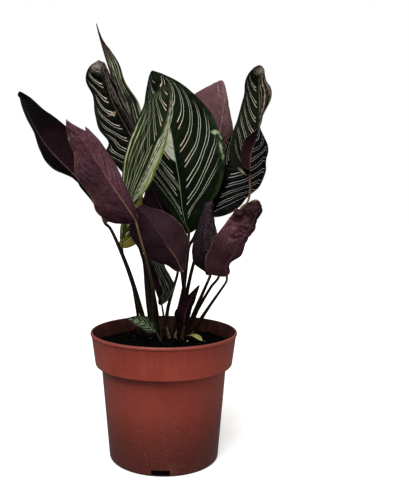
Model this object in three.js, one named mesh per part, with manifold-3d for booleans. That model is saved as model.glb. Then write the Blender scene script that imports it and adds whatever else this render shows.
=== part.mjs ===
// Potted pinstripe calathea: a nursery pot, its soil, and the plant's leaves, stems and debris.
// Millimetres, +Z up. The origin is the centre of the pot's underside, on the ground. -Y is the front.

import * as THREE from 'three';
import { mergeVertices } from 'three/addons/utils/BufferGeometryUtils.js';
import Module from 'manifold-3d';

const wasm = await Module();
wasm.setup();

// Driving dimensions of the pot

const RIM_RADIUS = 60;
const POT_HEIGHT = 104.5;
const BASE_RADIUS = 45;
const BODY_TOP_RADIUS = 51.3;
const COLLAR_BOTTOM = 77.5;
const COLLAR_BOTTOM_RADIUS = 56.2;
const WALL = 1.6;
const LIP_DEPTH = 2.4;
const LIP_OVERHANG = 0.8;
const LIP_ROUND = 0.9;
const MOUTH_ROUND = 0.6;
const COLLAR_EDGE_ROUND = 1.2;
const FOOT_ROUND = 2;
const FOOT_RING_INNER = 40.5;
const FLOOR_UNDERSIDE = 6;
const CENTRE_PAD_RADIUS = 13;
const PAD_SLOPE = 2;
const FOOT_NOTCHES = 3;
const NOTCH_WIDTH = 15;
const NOTCH_HEIGHT = 5;
const NOTCH_REACH = 6;
const NOTCH_FRONT_ANGLE = -93.5;
const DRAIN_HOLES = 6;
const DRAIN_HOLE_RADIUS = 3.5;
const DRAIN_HOLE_CIRCLE = 28;
const ROUND_SEGMENTS = 48;
const LIP_BOTTOM = POT_HEIGHT - LIP_DEPTH;
const FLOOR_TOP = FLOOR_UNDERSIDE + WALL;
const SHOULDER_TOP = COLLAR_BOTTOM + WALL;

// Driving dimensions of the soil and the plant

const SOIL_TOP = 93;
const CLEARANCE = 0.3;
const BLADE_THICKNESS = 0.7;
const MARGIN_HALF_WIDTH = 0.6;
const FLAT_BELOW_WIDTH = 6;
const BLADE_STATIONS = 8;
const BLADE_BASE_ROUND = 0.16;
const BASE_WIDTH_SHARE = 0.8;
const TIP_WIDTH_SHARE = 0.7;
const PETIOLE_GAP = 0.9;
const STEM_STEP = 12;
const DEGREE = Math.PI / 180;

// One entry a leaf. The midrib runs from the blade's base to its tip. Facing is the way the upper side
// looks, from base to tip. Each half has its width at one eighth to seven eighths of the length, and the
// angles from base to tip by which it lifts off the facing plane at the midrib and curls on to its margin.
// Where a half is very narrow, at the blade's two ends, it flattens out. A twisted blade has a finer mesh.
// A torn blade ends earlier at some places across it, from -1 at the left margin to 1 at the right one.
// The stem's path runs from the soil to the blade's base, with its radius at the soil, halfway and the top.

const LEAVES = [
  {
    name: 'far_left',
    colour: '#241a1f',
    midrib: [[-47, 0, 192], [-54.5, -2, 208], [-68.5, -5, 228], [-90, -9, 251], [-102, -12, 271],
      [-112, -12, 295]],
    facing: [[0.4, 0.85, 0.25], [0.5, 0.8, 0.3]],
    left: { widths: [14, 20, 22, 23.5, 22, 19, 12.5], lift: [35, 35, 30], curl: [0, 10, 0] },
    right: { widths: [2, 2.5, 9.5, 19, 19.5, 17, 25], lift: [36, 34, 18, 34, 30], curl: [10] },
    wave: { size: 1.5, count: 2.5 },
    stem: [[-14.2, 29, 93], [-18.8, 22, 114], [-28, 12, 148], [-36.2, 6, 171], [-43, 2, 187]],
    radii: [2.2, 1.9, 1.2],
  },
  {
    name: 'front_left',
    twisted: true,
    colour: '#5a2c38',
    midrib: [[-21, -36, 195], [-25, -39, 202], [-38, -47, 222], [-52, -55, 244], [-68.2, -60, 268.5]],
    facing: [[-0.1, 1, 0], [-0.2, 0.95, 0]],
    left: { widths: [9, 13, 16, 18.5, 17.5, 16.3, 13], lift: [20, 20, 15], curl: [60, 55, 40] },
    right: { widths: [18.3, 20.8, 17.8, 17.8, 16.7, 10, 8.5], lift: [10, 8, 8], curl: [10, 15, 15] },
    wave: { size: 1.5, count: 2.5 },
    end: [[-1, 0.875], [-0.8, 0.862], [-0.6, 0.845], [-0.45, 0.885], [-0.3, 0.93], [-0.1, 0.975], [0.1, 1],
      [1, 1]],
    stem: [[-2.5, 17, 93], [-4.8, 8, 111], [-7, -8, 131], [-10.6, -24, 153], [-12.9, -32, 164],
      [-15.3, -37, 174], [-19, -38, 188]],
    radii: [1.6, 1.1, 0.8],
  },
  {
    name: 'rolled_tall',
    colour: '#4a4a3c',
    midrib: [[-21, 46, 223], [-28, 51, 247], [-38, 60, 288], [-47, 67, 321], [-54, 71, 343],
      [-61, 75, 369]],
    facing: [[1, -0.25, 0], [1, -0.25, 0.2]],
    left: { widths: [5, 6, 6, 6, 5, 4, 2.5], lift: [10], curl: [30, 40, 40] },
    right: { widths: [16, 19.5, 19, 18.5, 11.5, 10.8, 5.5], lift: [45, 45, 40], curl: [20] },
    stem: [[-4, 38, 93], [-8, 39, 109], [-10, 42, 140], [-14, 46, 184]],
    radii: [2.2, 1.7, 1.0],
  },
  {
    name: 'back_left',
    colour: '#25301f',
    midrib: [[-21, 30, 228], [-27, 35, 259], [-38, 39, 281], [-49, 43, 303], [-56, 42, 330]],
    facing: [[-0.5, -0.85, 0.1]],
    left: { widths: [17, 25, 18.4, 20.5, 17.5, 12.5, 14.5], lift: [35], curl: [5] },
    right: { widths: [14, 18.5, 17.5, 20.5, 19.5, 21, 17], lift: [40, 38, 35], curl: [0] },
    tip: 34,
    end: [[-1, 1], [0.3, 1], [0.7, 0.975], [1, 0.955]],
    stem: [[-9, 33, 93], [-11, 32, 110], [-13, 30, 142], [-15, 31, 176]],
    radii: [2.2, 1.7, 1.0],
  },
  {
    name: 'folded_centre',
    colour: '#56663f',
    midrib: [[-28, -8, 206], [-18, -8, 228], [-2, -8, 259], [5, -2, 285], [3, 4, 304]],
    facing: [[-0.45, -0.85, 0.1], [-0.5, -0.85, 0.1]],
    left: { widths: [12, 17, 21, 22.5, 22.5, 22, 22.5], lift: [35], curl: [5] },
    right: { widths: [21, 24, 21.5, 18, 12.5, 11.5, 10], lift: [40, 42, 52], curl: [0] },
    stem: [[-9, 24, 93], [-12.8, 10, 120], [-14.4, 5, 138], [-15.9, 0, 159], [-19.2, -4, 172],
      [-24, -7, 191]],
    radii: [1.7, 1.4, 1.0],
  },
  {
    name: 'large_centre',
    colour: '#22331f',
    midrib: [[21, 10, 183], [17, 10, 195], [15, 12, 206], [13, 15, 225], [9, 20, 248], [4, 27, 276],
      [-10, 36, 320]],
    facing: [[0.25, -0.95, 0.1], [0.2, -0.95, 0.1]],
    left: { widths: [12, 25, 32.5, 34.5, 31, 23.5, 17.3], lift: [20, 18, 18], curl: [5] },
    right: { widths: [20, 32.5, 40, 41.5, 38, 32, 26], lift: [15], curl: [5] },
    tip: 8,
    stem: [[12, 30, 93], [16, 20, 117], [17.4, 13, 144], [18, 11, 159], [19.2, 10, 170]],
    radii: [2.2, 1.6, 1.1],
  },
  {
    name: 'back_right',
    twisted: true,
    colour: '#6e4b52',
    midrib: [[44, 45, 230], [49, 48, 267], [53, 53, 295], [51.6, 60, 312.2], [50, 71, 317.3],
      [48, 82, 310.5]],
    facing: [[-0.3, 0.9, 0], [-0.3, 0.9, 0], [-0.2, 0.9, 0], [0.1, 0.7, -0.5], [0.1, 0.2, -1]],
    left: { widths: [16.5, 21.5, 23, 13.5, 4, 2.5, 2], lift: [35, 30, 28, 30, 10], curl: [15] },
    right: { widths: [16, 25, 28, 29, 32.3, 32, 23], lift: [10], curl: [10] },
    stem: [[8, 37, 93], [17, 34, 132], [20, 35, 156], [22, 37, 170], [27, 39, 179], [36, 43, 202]],
    radii: [2.0, 1.5, 1.0],
  },
  {
    name: 'front_narrow',
    colour: '#3d222c',
    midrib: [[37, -14, 152], [32, -18, 163], [30, -20, 176], [31, -19, 192], [34, -16, 203],
      [37, -12, 210]],
    facing: [[0.1, 1, 0]],
    left: { widths: [8, 13, 15.5, 16.5, 16, 15, 12.5], lift: [35, 35, 45], curl: [20] },
    right: { widths: [18.5, 19.5, 17.6, 13, 9.5, 7.5, 6.5], lift: [50, 50, 45], curl: [20] },
    tip: 14,
    stem: [[17.6, 26, 93], [25, 14, 114], [31, 0, 133], [35, -12, 146]],
    radii: [2.1, 1.6, 1.1],
  },
  {
    name: 'upper_right',
    twisted: true,
    colour: '#2b3324',
    midrib: [[68, -6, 230], [69, -3, 247], [75, 2, 265], [77, 8, 285], [77, 12, 304], [77, 8, 319]],
    facing: [[-0.3, -0.95, 0], [-0.2, -0.95, 0]],
    left: { widths: [15.5, 18, 19, 17, 15, 12, 11], lift: [15], curl: [15] },
    right: { widths: [7.5, 10, 8, 6.2, 13.8, 14, 8.2], lift: [140, 128, 52, 38, 32], curl: [10] },
    tip: 26,
    stem: [[21, 34, 93], [27, 25, 112], [33, 16, 126], [39.5, 9, 139], [45.5, 5, 148], [51, 3, 166],
      [55, 1, 187], [62, -2, 204], [67, -3, 209], [69, -4, 218]],
    radii: [1.6, 1.0, 0.8],
  },
  {
    name: 'right',
    colour: '#1c211b',
    midrib: [[39, 17, 197], [46, 22, 219], [58, 30, 245], [71, 38, 270], [78, 43, 286]],
    facing: [[-0.1, -1, 0.1]],
    left: { widths: [11, 14, 15, 13, 11, 9, 5], lift: [15], curl: [10] },
    right: { widths: [22, 26.3, 32, 31.5, 27.4, 24, 13], lift: [12], curl: [10] },
    stem: [[15, 36, 93], [19, 28, 124], [23, 20, 148], [28, 17, 167], [34, 15, 182]],
    radii: [2.0, 1.5, 1.0],
  },
  {
    name: 'front_right',
    colour: '#633743',
    midrib: [[49, -22, 152], [48, -26, 160], [53, -33, 170], [58, -39, 181], [64, -44, 191], [68, -47, 203],
      [67, -46, 212]],
    facing: [[-0.35, 0.9, 0.1]],
    left: { widths: [8, 10.5, 10, 9.5, 7, 7.6, 8.7], lift: [30, 30, 38, 30], curl: [0] },
    right: { widths: [16.5, 18, 18.5, 18, 16.5, 14, 19], lift: [20], curl: [10] },
    wave: { size: 1, count: 3 },
    tip: 20,
    stem: [[22.5, 27.2, 93], [32.2, 10, 113], [39.2, -4, 128], [43.6, -13, 137], [47, -20, 144],
      [49, -22, 148]],
    radii: [2.3, 1.3, 0.9],
  },
  {
    name: 'front_centre',
    colour: '#3e222c',
    midrib: [[14, -16, 155], [10, -19, 165], [3, -21, 175], [-3, -23, 184], [-12, -24, 197],
      [-21, -24, 207]],
    facing: [[0, 1, 0], [0, 1, 0.1]],
    left: { widths: [8, 17, 19, 19, 17, 13.5, 7], lift: [15, 15, 20], curl: [15, 15, 20] },
    right: { widths: [10, 14.5, 20, 22, 22, 22, 20], lift: [15, 15, 20], curl: [15, 15, 20] },
    tip: 16,
    stem: [[7, 26, 93], [12, 18, 110], [14, 11, 124], [16, 0, 138], [15, -12, 148]],
    radii: [2.2, 1.6, 1.2],
  },
  {
    name: 'over_rim',
    colour: '#3f4c3a',
    midrib: [[-6, 8, 100], [-12, 4, 106], [-20, 1, 111], [-30, -1, 114]],
    facing: [[0.1, -1, 0.5]],
    left: { widths: [4, 6, 7, 7, 6, 5, 3], lift: [25], curl: [10] },
    right: { widths: [4, 5, 5, 6, 5, 4, 3], lift: [20], curl: [10] },
    stem: [[-2, 6, 93], [-4, 7, 96.5]],
    radii: [1.0, 0.9, 0.8],
  },
  {
    name: 'half_rolled',
    twisted: true,
    colour: '#2f3a2c',
    midrib: [[-1.6, 10, 123.5], [-6, 8, 135], [-8, 8, 146], [-11.5, 10, 156], [-12.5, 13, 165]],
    facing: [[0.2, -1, 0]],
    left: { widths: [4, 6, 7, 8, 8, 7, 5], lift: [100, 90, 80], curl: [30] },
    right: { widths: [10, 15, 16, 14, 12, 12, 8], lift: [10], curl: [20] },
    stem: [[1, 22, 93], [0.2, 15, 110]],
    radii: [1.2, 1.0, 0.8],
  },
  {
    name: 'young_spear',
    colour: '#3a1f28',
    midrib: [[17, 10, 104], [17, 6, 112], [19, 4, 121], [23.5, 3, 131.5], [29.3, 4, 141]],
    facing: [[0, 1, 0]],
    left: { widths: [4, 6, 6, 4, 4, 3, 2], lift: [25], curl: [30] },
    right: { widths: [6, 9, 8, 5, 4, 3, 2], lift: [10], curl: [20] },
    stem: [[15, 11, 93], [16, 11, 98]],
    radii: [1.6, 1.4, 1.0],
  },
  {
    name: 'yellowing',
    colour: '#6f7440',
    midrib: [[-34.7, 14, 170.5], [-34.2, 14, 182], [-31, 15, 195], [-25, 17, 209], [-19.5, 20, 221]],
    facing: [[0, -1, 0]],
    left: { widths: [6, 7, 7, 6, 4.5, 3, 2], lift: [-66, -55, -25], curl: [0] },
    right: { widths: [15, 14, 13, 13, 11, 8, 5], lift: [10], curl: [5] },
    stem: [[-21, 34, 93], [-23, 30, 114], [-28.5, 20, 148], [-33.5, 15, 163]],
    radii: [1.5, 1.1, 0.8],
  },
  {
    name: 'hidden_centre',
    colour: '#40242e',
    midrib: [[13, 25, 158], [7, 25, 181], [-3, 25.5, 206], [-14, 26, 228]],
    facing: [[0, 1, 0]],
    left: { widths: [9, 12, 14, 14, 13, 11, 7], lift: [10], curl: [10] },
    right: { widths: [9, 13, 19, 25, 25, 18, 9], lift: [2], curl: [5] },
    stem: [[1.5, 29, 93], [2.8, 26, 112], [4.8, 25, 123], [8.4, 24, 136], [11.6, 25, 147]],
    radii: [1.9, 1.5, 1.0],
  },
];

// What is left of shed leaf bases, as short tapering spikes among the stems

const OLD_SHEATHS = [
  { path: [[5, 17, 93], [4, 16, 98], [2, 16, 104]], radii: [1.3, 0.9, 0.5] },
  { path: [[10, 14, 93], [10, 13, 97], [11, 13, 101]], radii: [1.4, 1.0, 0.5] },
  { path: [[23, 18, 93], [24, 17, 97], [26, 16, 100]], radii: [1.3, 0.9, 0.5] },
];

const DRIED_SCRAP = {
  midrib: [[20, 17, 95.2], [24, 12, 97], [28, 7, 96.5], [32, 3, 94.6]],
  facing: [[0.2, -0.3, 1]],
  left: { widths: [1, 2, 3, 3, 3, 3, 2], lift: [20], curl: [10] },
  right: { widths: [1, 2, 3, 4, 4, 3, 2], lift: [20], curl: [10] },
};

// Meshes

function sharedVertices(geometry) {
  geometry.deleteAttribute('normal');
  geometry.deleteAttribute('uv');
  const merged = mergeVertices(geometry, 1e-4);
  const kept = [];
  for (let i = 0; i < merged.index.count; i += 3) {
    const [a, b, c] = [0, 1, 2].map((k) => merged.index.getX(i + k));
    if (a !== b && b !== c && c !== a) kept.push(a, b, c);
  }
  merged.setIndex(kept);
  return merged;
}

function moveVertices(geometry, place) {
  const position = geometry.getAttribute('position');
  for (let i = 0; i < position.count; i += 1) {
    const moved = place(position.getX(i), position.getY(i), position.getZ(i));
    position.setXYZ(i, moved.x, moved.y, moved.z);
  }
  return geometry;
}

function toSolid(geometry) {
  const merged = sharedVertices(geometry);
  return new wasm.Manifold(new wasm.Mesh({
    numProp: 3,
    vertProperties: new Float32Array(merged.getAttribute('position').array),
    triVerts: new Uint32Array(merged.index.array),
  }));
}

function fromSolid(solid) {
  const { vertProperties, triVerts } = solid.getMesh();
  const geometry = new THREE.BufferGeometry();
  geometry.setAttribute('position', new THREE.BufferAttribute(new Float32Array(vertProperties), 3));
  geometry.setIndex(new THREE.BufferAttribute(new Uint32Array(triVerts), 1));
  return geometry;
}

function namedMesh(name, geometry, colour, roughness) {
  const material = new THREE.MeshStandardMaterial({ color: colour, roughness, metalness: 0 });
  geometry.computeVertexNormals();
  const mesh = new THREE.Mesh(geometry, material);
  mesh.name = name;
  return mesh;
}

function turned(profile) {
  const points = profile.map(([radius, height]) => new THREE.Vector2(radius, height));
  return new THREE.LatheGeometry(points, ROUND_SEGMENTS).rotateX(Math.PI / 2);
}

function corner(centreRadius, centreHeight, radius, fromDegrees, toDegrees, steps = 3) {
  const points = [];
  for (let i = 0; i <= steps; i += 1) {
    const angle = (fromDegrees + ((toDegrees - fromDegrees) * i) / steps) * DEGREE;
    points.push([centreRadius + radius * Math.cos(angle), centreHeight + radius * Math.sin(angle)]);
  }
  return points;
}

// Pot

function bodyRadius(height) {
  return BASE_RADIUS + ((BODY_TOP_RADIUS - BASE_RADIUS) * height) / COLLAR_BOTTOM;
}

function collarRadius(height) {
  const rise = (height - COLLAR_BOTTOM) / (LIP_BOTTOM - COLLAR_BOTTOM);
  return COLLAR_BOTTOM_RADIUS + (RIM_RADIUS - LIP_OVERHANG - COLLAR_BOTTOM_RADIUS) * rise;
}

function innerCollarRadius(height) {
  const rise = (height - SHOULDER_TOP) / (POT_HEIGHT - MOUTH_ROUND - SHOULDER_TOP);
  const shoulder = COLLAR_BOTTOM_RADIUS - WALL;
  const mouth = RIM_RADIUS - LIP_OVERHANG - WALL;
  return shoulder + (mouth - shoulder) * rise;
}

function potGeometry() {
  const mouthCentre = innerCollarRadius(POT_HEIGHT - MOUTH_ROUND) + MOUTH_ROUND;
  const collarEdgeCentre = COLLAR_BOTTOM_RADIUS - COLLAR_EDGE_ROUND;
  const profile = [
    [0, 0],
    [CENTRE_PAD_RADIUS, 0],
    [CENTRE_PAD_RADIUS + PAD_SLOPE, FLOOR_UNDERSIDE],
    [FOOT_RING_INNER, FLOOR_UNDERSIDE],
    [FOOT_RING_INNER, 0],
    ...corner(bodyRadius(FOOT_ROUND) - FOOT_ROUND, FOOT_ROUND, FOOT_ROUND, -90, 0),
    [bodyRadius(COLLAR_BOTTOM), COLLAR_BOTTOM],
    ...corner(collarEdgeCentre, COLLAR_BOTTOM + COLLAR_EDGE_ROUND, COLLAR_EDGE_ROUND, -90, 0),
    [collarRadius(LIP_BOTTOM), LIP_BOTTOM],
    ...corner(RIM_RADIUS - LIP_ROUND, POT_HEIGHT - LIP_ROUND, LIP_ROUND, 0, 90),
    ...corner(mouthCentre, POT_HEIGHT - MOUTH_ROUND, MOUTH_ROUND, 90, 180),
    [innerCollarRadius(SHOULDER_TOP), SHOULDER_TOP],
    [bodyRadius(SHOULDER_TOP) - WALL, SHOULDER_TOP],
    [bodyRadius(FLOOR_TOP) - WALL, FLOOR_TOP],
    [CENTRE_PAD_RADIUS + PAD_SLOPE - WALL, FLOOR_TOP],
    [CENTRE_PAD_RADIUS - WALL, WALL],
    [0, WALL],
  ];
  let pot = toSolid(turned(profile));
  for (let i = 0; i < FOOT_NOTCHES; i += 1) {
    const notchAngle = (NOTCH_FRONT_ANGLE + (360 * i) / FOOT_NOTCHES) * DEGREE;
    const notch = new THREE.BoxGeometry(2 * NOTCH_REACH, NOTCH_WIDTH, 2 * NOTCH_HEIGHT);
    notch.translate(BASE_RADIUS, 0, 0).rotateZ(notchAngle);
    pot = pot.subtract(toSolid(notch));
  }
  for (let i = 0; i < DRAIN_HOLES; i += 1) {
    const holeAngle = (NOTCH_FRONT_ANGLE + (360 * (i + 0.5)) / DRAIN_HOLES) * DEGREE;
    const hole = new THREE.CylinderGeometry(DRAIN_HOLE_RADIUS, DRAIN_HOLE_RADIUS, 3 * WALL, 12);
    hole.rotateX(Math.PI / 2).translate(DRAIN_HOLE_CIRCLE, 0, FLOOR_UNDERSIDE + WALL / 2);
    hole.rotateZ(holeAngle);
    pot = pot.subtract(toSolid(hole));
  }
  return fromSolid(pot);
}

// Soil

function soilGeometry() {
  const insideBody = (height) => bodyRadius(height) - WALL - CLEARANCE;
  return sharedVertices(turned([
    [0, WALL + CLEARANCE],
    [CENTRE_PAD_RADIUS - WALL - CLEARANCE, WALL + CLEARANCE],
    [CENTRE_PAD_RADIUS + PAD_SLOPE - WALL - CLEARANCE, FLOOR_TOP + CLEARANCE],
    [insideBody(FLOOR_TOP), FLOOR_TOP + CLEARANCE],
    [insideBody(SHOULDER_TOP), SHOULDER_TOP + CLEARANCE],
    [innerCollarRadius(SHOULDER_TOP) - CLEARANCE, SHOULDER_TOP + CLEARANCE],
    [innerCollarRadius(SOIL_TOP) - CLEARANCE, SOIL_TOP],
    [0, SOIL_TOP],
  ]));
}

// Leaf blade

function smooth(values, along) {
  const place = along * (values.length - 1);
  const i = Math.min(Math.floor(place), values.length - 2);
  if (values.length === 1) return values[0];
  const part = (place - i) ** 2 * (3 - 2 * (place - i));
  return values[i] * (1 - part) + values[i + 1] * part;
}

function halfWidth(widths, along, tip) {
  const stations = [widths[0] * BASE_WIDTH_SHARE, ...widths, widths[widths.length - 1] * TIP_WIDTH_SHARE];
  const place = along * BLADE_STATIONS;
  const i = Math.min(Math.floor(place), BLADE_STATIONS - 1);
  const f = place - i;
  const p1 = stations[i];
  const p2 = stations[i + 1];
  const p0 = i > 0 ? stations[i - 1] : 2 * p1 - p2;
  const p3 = i + 2 < stations.length ? stations[i + 2] : 2 * p2 - p1;
  const width = 0.5 * (2 * p1 + (p2 - p0) * f + (2 * p0 - 5 * p1 + 4 * p2 - p3) * f ** 2
    + (3 * p1 - p0 - 3 * p2 + p3) * f ** 3);
  const roundBase = Math.sqrt(1 - (1 - Math.min(along / BLADE_BASE_ROUND, 1)) ** 2);
  const pointedTip = (1 - along ** tip) ** 0.8;
  return Math.max(width, 0) * roundBase * pointedTip + MARGIN_HALF_WIDTH;
}

function curveThrough(points) {
  const vectors = points.map(([x, y, z]) => new THREE.Vector3(x, y, z));
  return new THREE.CatmullRomCurve3(vectors, false, 'catmullrom', 0.5);
}

function halfBlade(half, side, along, tip) {
  const width = halfWidth(half.widths, along, tip);
  const folded = Math.min(width / FLAT_BELOW_WIDTH, 1) ** 2;
  const lift = smooth(half.lift, along) * folded * DEGREE;
  const curl = Math.max(smooth(half.curl, along) * folded, 0.1) * DEGREE;
  return (out) => ({
    angle: side * (lift + curl * out),
    reach: (side * width * (Math.sin(lift + curl * out) - Math.sin(lift))) / curl,
    rise: (-width * (Math.cos(lift + curl * out) - Math.cos(lift))) / curl,
  });
}

function bladeSurface(leaf) {
  const midrib = curveThrough(leaf.midrib);
  const tip = leaf.tip ?? 10;
  return (along, across) => {
    const side = Math.sign(across) || 1;
    const out = Math.abs(across);
    const centre = midrib.getPointAt(along);
    const tangent = midrib.getTangentAt(along);
    const facing = new THREE.Vector3(...[0, 1, 2].map((k) => smooth(leaf.facing.map((f) => f[k]), along)));
    const up = facing.addScaledVector(tangent, -facing.dot(tangent)).normalize();
    const sideways = tangent.clone().cross(up);
    const left = halfBlade(leaf.left, -1, along, tip);
    const right = halfBlade(leaf.right, 1, along, tip);
    const { angle, reach, rise } = (side < 0 ? left : right)(out);
    const tilt = out > 0 ? angle : (left(0).angle + right(0).angle) / 2;
    const ripple = leaf.wave
      ? Math.sin(2 * Math.PI * leaf.wave.count * along + side * 0.9) * Math.sqrt(Math.sin(Math.PI * along))
      : 0;
    const waved = leaf.wave ? leaf.wave.size * out ** 2.2 * ripple : 0;
    return {
      point: centre.addScaledVector(sideways, reach).addScaledVector(up, rise + waved),
      normal: up.clone().multiplyScalar(Math.cos(tilt)).addScaledVector(sideways, -Math.sin(tilt)),
    };
  };
}

function bladeEnd(end, across) {
  const i = Math.max(1, end.findIndex(([place]) => place >= across));
  const [[before, low], [after, high]] = [end[i - 1], end[i]];
  return low + ((high - low) * (across - before)) / (after - before);
}

function bladeGeometry(leaf, rows, columns) {
  const surface = bladeSurface(leaf);
  const end = leaf.end ?? [[-1, 1], [1, 1]];
  return moveVertices(new THREE.BoxGeometry(2, 1, 1, columns, rows, 1), (x, y, z) => {
    const along = (bladeEnd(end, x) * (1 - Math.cos(Math.PI * (y + 0.5)))) / 2;
    const { point, normal } = surface(along, x);
    return point.addScaledVector(normal, z * BLADE_THICKNESS);
  });
}

// Stem

function stemGeometry(path, radii) {
  const curve = curveThrough(path);
  const steps = Math.max(3, Math.round(curve.getLength() / STEM_STEP));
  const section = new THREE.Shape().absarc(0, 0, 1, 0, 2 * Math.PI, false);
  const tube = new THREE.ExtrudeGeometry(section, { steps, curveSegments: 4, extrudePath: curve });
  const centres = curve.getSpacedPoints(steps);
  return moveVertices(tube, (x, y, z) => {
    const vertex = new THREE.Vector3(x, y, z);
    let nearest = 0;
    centres.forEach((centre, i) => {
      if (centre.distanceTo(vertex) < centres[nearest].distanceTo(vertex)) nearest = i;
    });
    const radius = taper(radii, nearest / steps);
    return vertex.sub(centres[nearest]).multiplyScalar(radius).add(centres[nearest]);
  });
}

function taper([bottom, middle, top], along) {
  return along < 0.5 ? bottom + (middle - bottom) * along * 2 : middle + (top - middle) * (along * 2 - 1);
}

// A leaning stem's cut end dips on one side, so its centre starts that much higher than the soil.

function seatedOnSoil(path, radius) {
  const [[x, y], next] = path;
  const lean = Math.hypot(next[0] - x, next[1] - y);
  const slant = lean / Math.hypot(lean, next[2] - SOIL_TOP);
  return [[x, y, SOIL_TOP + CLEARANCE + 1.1 * radius * slant], ...path.slice(1)];
}

function petiolePath(leaf) {
  const base = new THREE.Vector3(...leaf.midrib[0]);
  const before = new THREE.Vector3(...leaf.stem[leaf.stem.length - 1]);
  const end = base.clone().add(before.sub(base).setLength(PETIOLE_GAP));
  return [...seatedOnSoil(leaf.stem, leaf.radii[0]), end.toArray()];
}

// Assembly

const STEM_COLOUR = '#3a2d22';
const group = new THREE.Group();

group.add(namedMesh('pot', potGeometry(), '#80352d', 0.55));
group.add(namedMesh('soil', soilGeometry(), '#1b1613', 0.95));

LEAVES.forEach((leaf) => {
  const length = curveThrough(leaf.midrib).getLength();
  const rows = (length > 80 ? 12 : 9) * (leaf.twisted ? 2 : 1);
  const columns = (length > 60 ? 6 : 4) + (leaf.twisted ? 2 : 0);
  const blade = sharedVertices(bladeGeometry(leaf, rows, columns));
  const stem = sharedVertices(stemGeometry(petiolePath(leaf), leaf.radii));
  group.add(namedMesh(`leaf_${leaf.name}`, blade, leaf.colour, 0.5));
  group.add(namedMesh(`stem_${leaf.name}`, stem, STEM_COLOUR, 0.7));
});

OLD_SHEATHS.forEach(({ path, radii }, i) => {
  const sheath = sharedVertices(stemGeometry(seatedOnSoil(path, radii[0]), radii));
  group.add(namedMesh(`old_sheath_${i + 1}`, sheath, '#6a4a34', 0.85));
});

group.add(namedMesh('dried_leaf_scrap', sharedVertices(bladeGeometry(DRIED_SCRAP, 6, 4)), '#a9a45f', 0.8));

export default group;
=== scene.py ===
"""Potted pinstripe calathea: the looks of the plant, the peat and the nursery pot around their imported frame."""

import math
import random
from dataclasses import dataclass, field
from types import SimpleNamespace

import bmesh
import bpy
import numpy as np
from mathutils import Euler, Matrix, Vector, noise


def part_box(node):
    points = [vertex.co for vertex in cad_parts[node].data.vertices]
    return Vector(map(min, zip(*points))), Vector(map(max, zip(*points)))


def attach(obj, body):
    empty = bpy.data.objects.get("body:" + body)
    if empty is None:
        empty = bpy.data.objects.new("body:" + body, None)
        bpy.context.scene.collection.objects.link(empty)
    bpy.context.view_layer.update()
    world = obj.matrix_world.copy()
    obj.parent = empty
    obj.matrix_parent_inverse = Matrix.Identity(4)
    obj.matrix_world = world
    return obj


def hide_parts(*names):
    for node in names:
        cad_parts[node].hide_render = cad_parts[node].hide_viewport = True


bl_info = {
    "name": "Potted Pinstripe Calathea",
    "version": (1, 0, 0),
    "blender": (4, 5, 0),
    "location": "3D View > Sidebar > Calathea",
    "description": "Models a pinstripe calathea in its nursery pot, piece by piece",
    "category": "Add Mesh",
}

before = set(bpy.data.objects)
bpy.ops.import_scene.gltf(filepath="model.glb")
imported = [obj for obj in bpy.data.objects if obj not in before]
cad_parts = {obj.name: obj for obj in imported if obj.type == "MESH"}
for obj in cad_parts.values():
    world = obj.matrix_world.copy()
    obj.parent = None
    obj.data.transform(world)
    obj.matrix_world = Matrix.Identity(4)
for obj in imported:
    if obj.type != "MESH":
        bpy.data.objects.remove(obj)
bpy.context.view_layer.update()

# Lengths in the plant's tables are millimetres.
MM = 0.001
SEED = 41
TURN = 2 * math.pi

SOIL_TOP = 93.0
BLADE_THICKNESS = 0.42
BLADE_STATIONS = 8
BLADE_BASE_ROUND = 0.16
BASE_WIDTH_SHARE = 0.8
TIP_WIDTH_SHARE = 0.7
MARGIN_HALF_WIDTH = 0.35
MARGIN_THINNING = 0.65
FLAT_BELOW_WIDTH = 6.0
RIB_AT_TIP = 0.12
GROOVE_SHARE = 0.3
STEM_JOINT = 0.955
CURVE_STEPS = 40
TRACK_STEPS = 200

# A side vein that leaves the midrib at a level v lies farther along by bend(out) * (1 - v) * (sweep0 + sweep1 * v),
# where bend(out) = bend0 * out + bend1 * out^2 up to the reach.
VEIN_BEND = (0.40, 0.83)
VEIN_SWEEP = (0.30, 0.95)
VEIN_REACH = 0.9
VEIN_CROWDING = 0.8

# Lengths of the pot and the peat that their settings don't give, in metres.
LIP_OVERHANG = 0.0008
FOOT_FLOOR = 0.006
NOTCH_DEPTH = 0.012
FRONT_NOTCH = math.radians(-93.5)
POT_SEGMENTS = 180
PEAT_RINGS = 110
PEAT_SEGMENTS = 260
PEAT_GAP = 0.0009
PEAT_SETTLED = 0.0012
CRUMBS_INSET = 0.0055

BLADE_MAP = "Blade"
STEM_MAP = "Stem"


def colour(code):
    """A linear colour with alpha from a web colour code."""
    channels = [int(code[i : i + 2], 16) / 255 for i in (1, 3, 5)]
    return [c / 12.92 if c <= 0.04045 else ((c + 0.055) / 1.055) ** 2.4 for c in channels] + [1.0]


@dataclass
class Half:
    """One half of a blade: its widths from base to tip, and how it lifts off the facing plane and curls."""

    widths: list
    lift: list
    curl: list


@dataclass
class Leaf:
    """A blade with its stem. The midrib runs from base to tip, and facing is the way the upper side looks."""

    name: str
    slot: str
    midrib: list
    facing: list
    left: Half
    right: Half
    stem: list
    radii: tuple
    wave: tuple = (0.0, 3.0)
    tip: float = 10
    end: tuple = ((-1, 1.0), (1, 1.0))
    crumple: tuple = (0.35, 0.0)
    look: dict = field(default_factory=dict)
    dry_stem: float = 0.0


GREEN_SIDE = "leaf_green_side"
PURPLE_SIDE = "leaf_purple_side"
YELLOWING = "leaf_yellowing"

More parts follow.
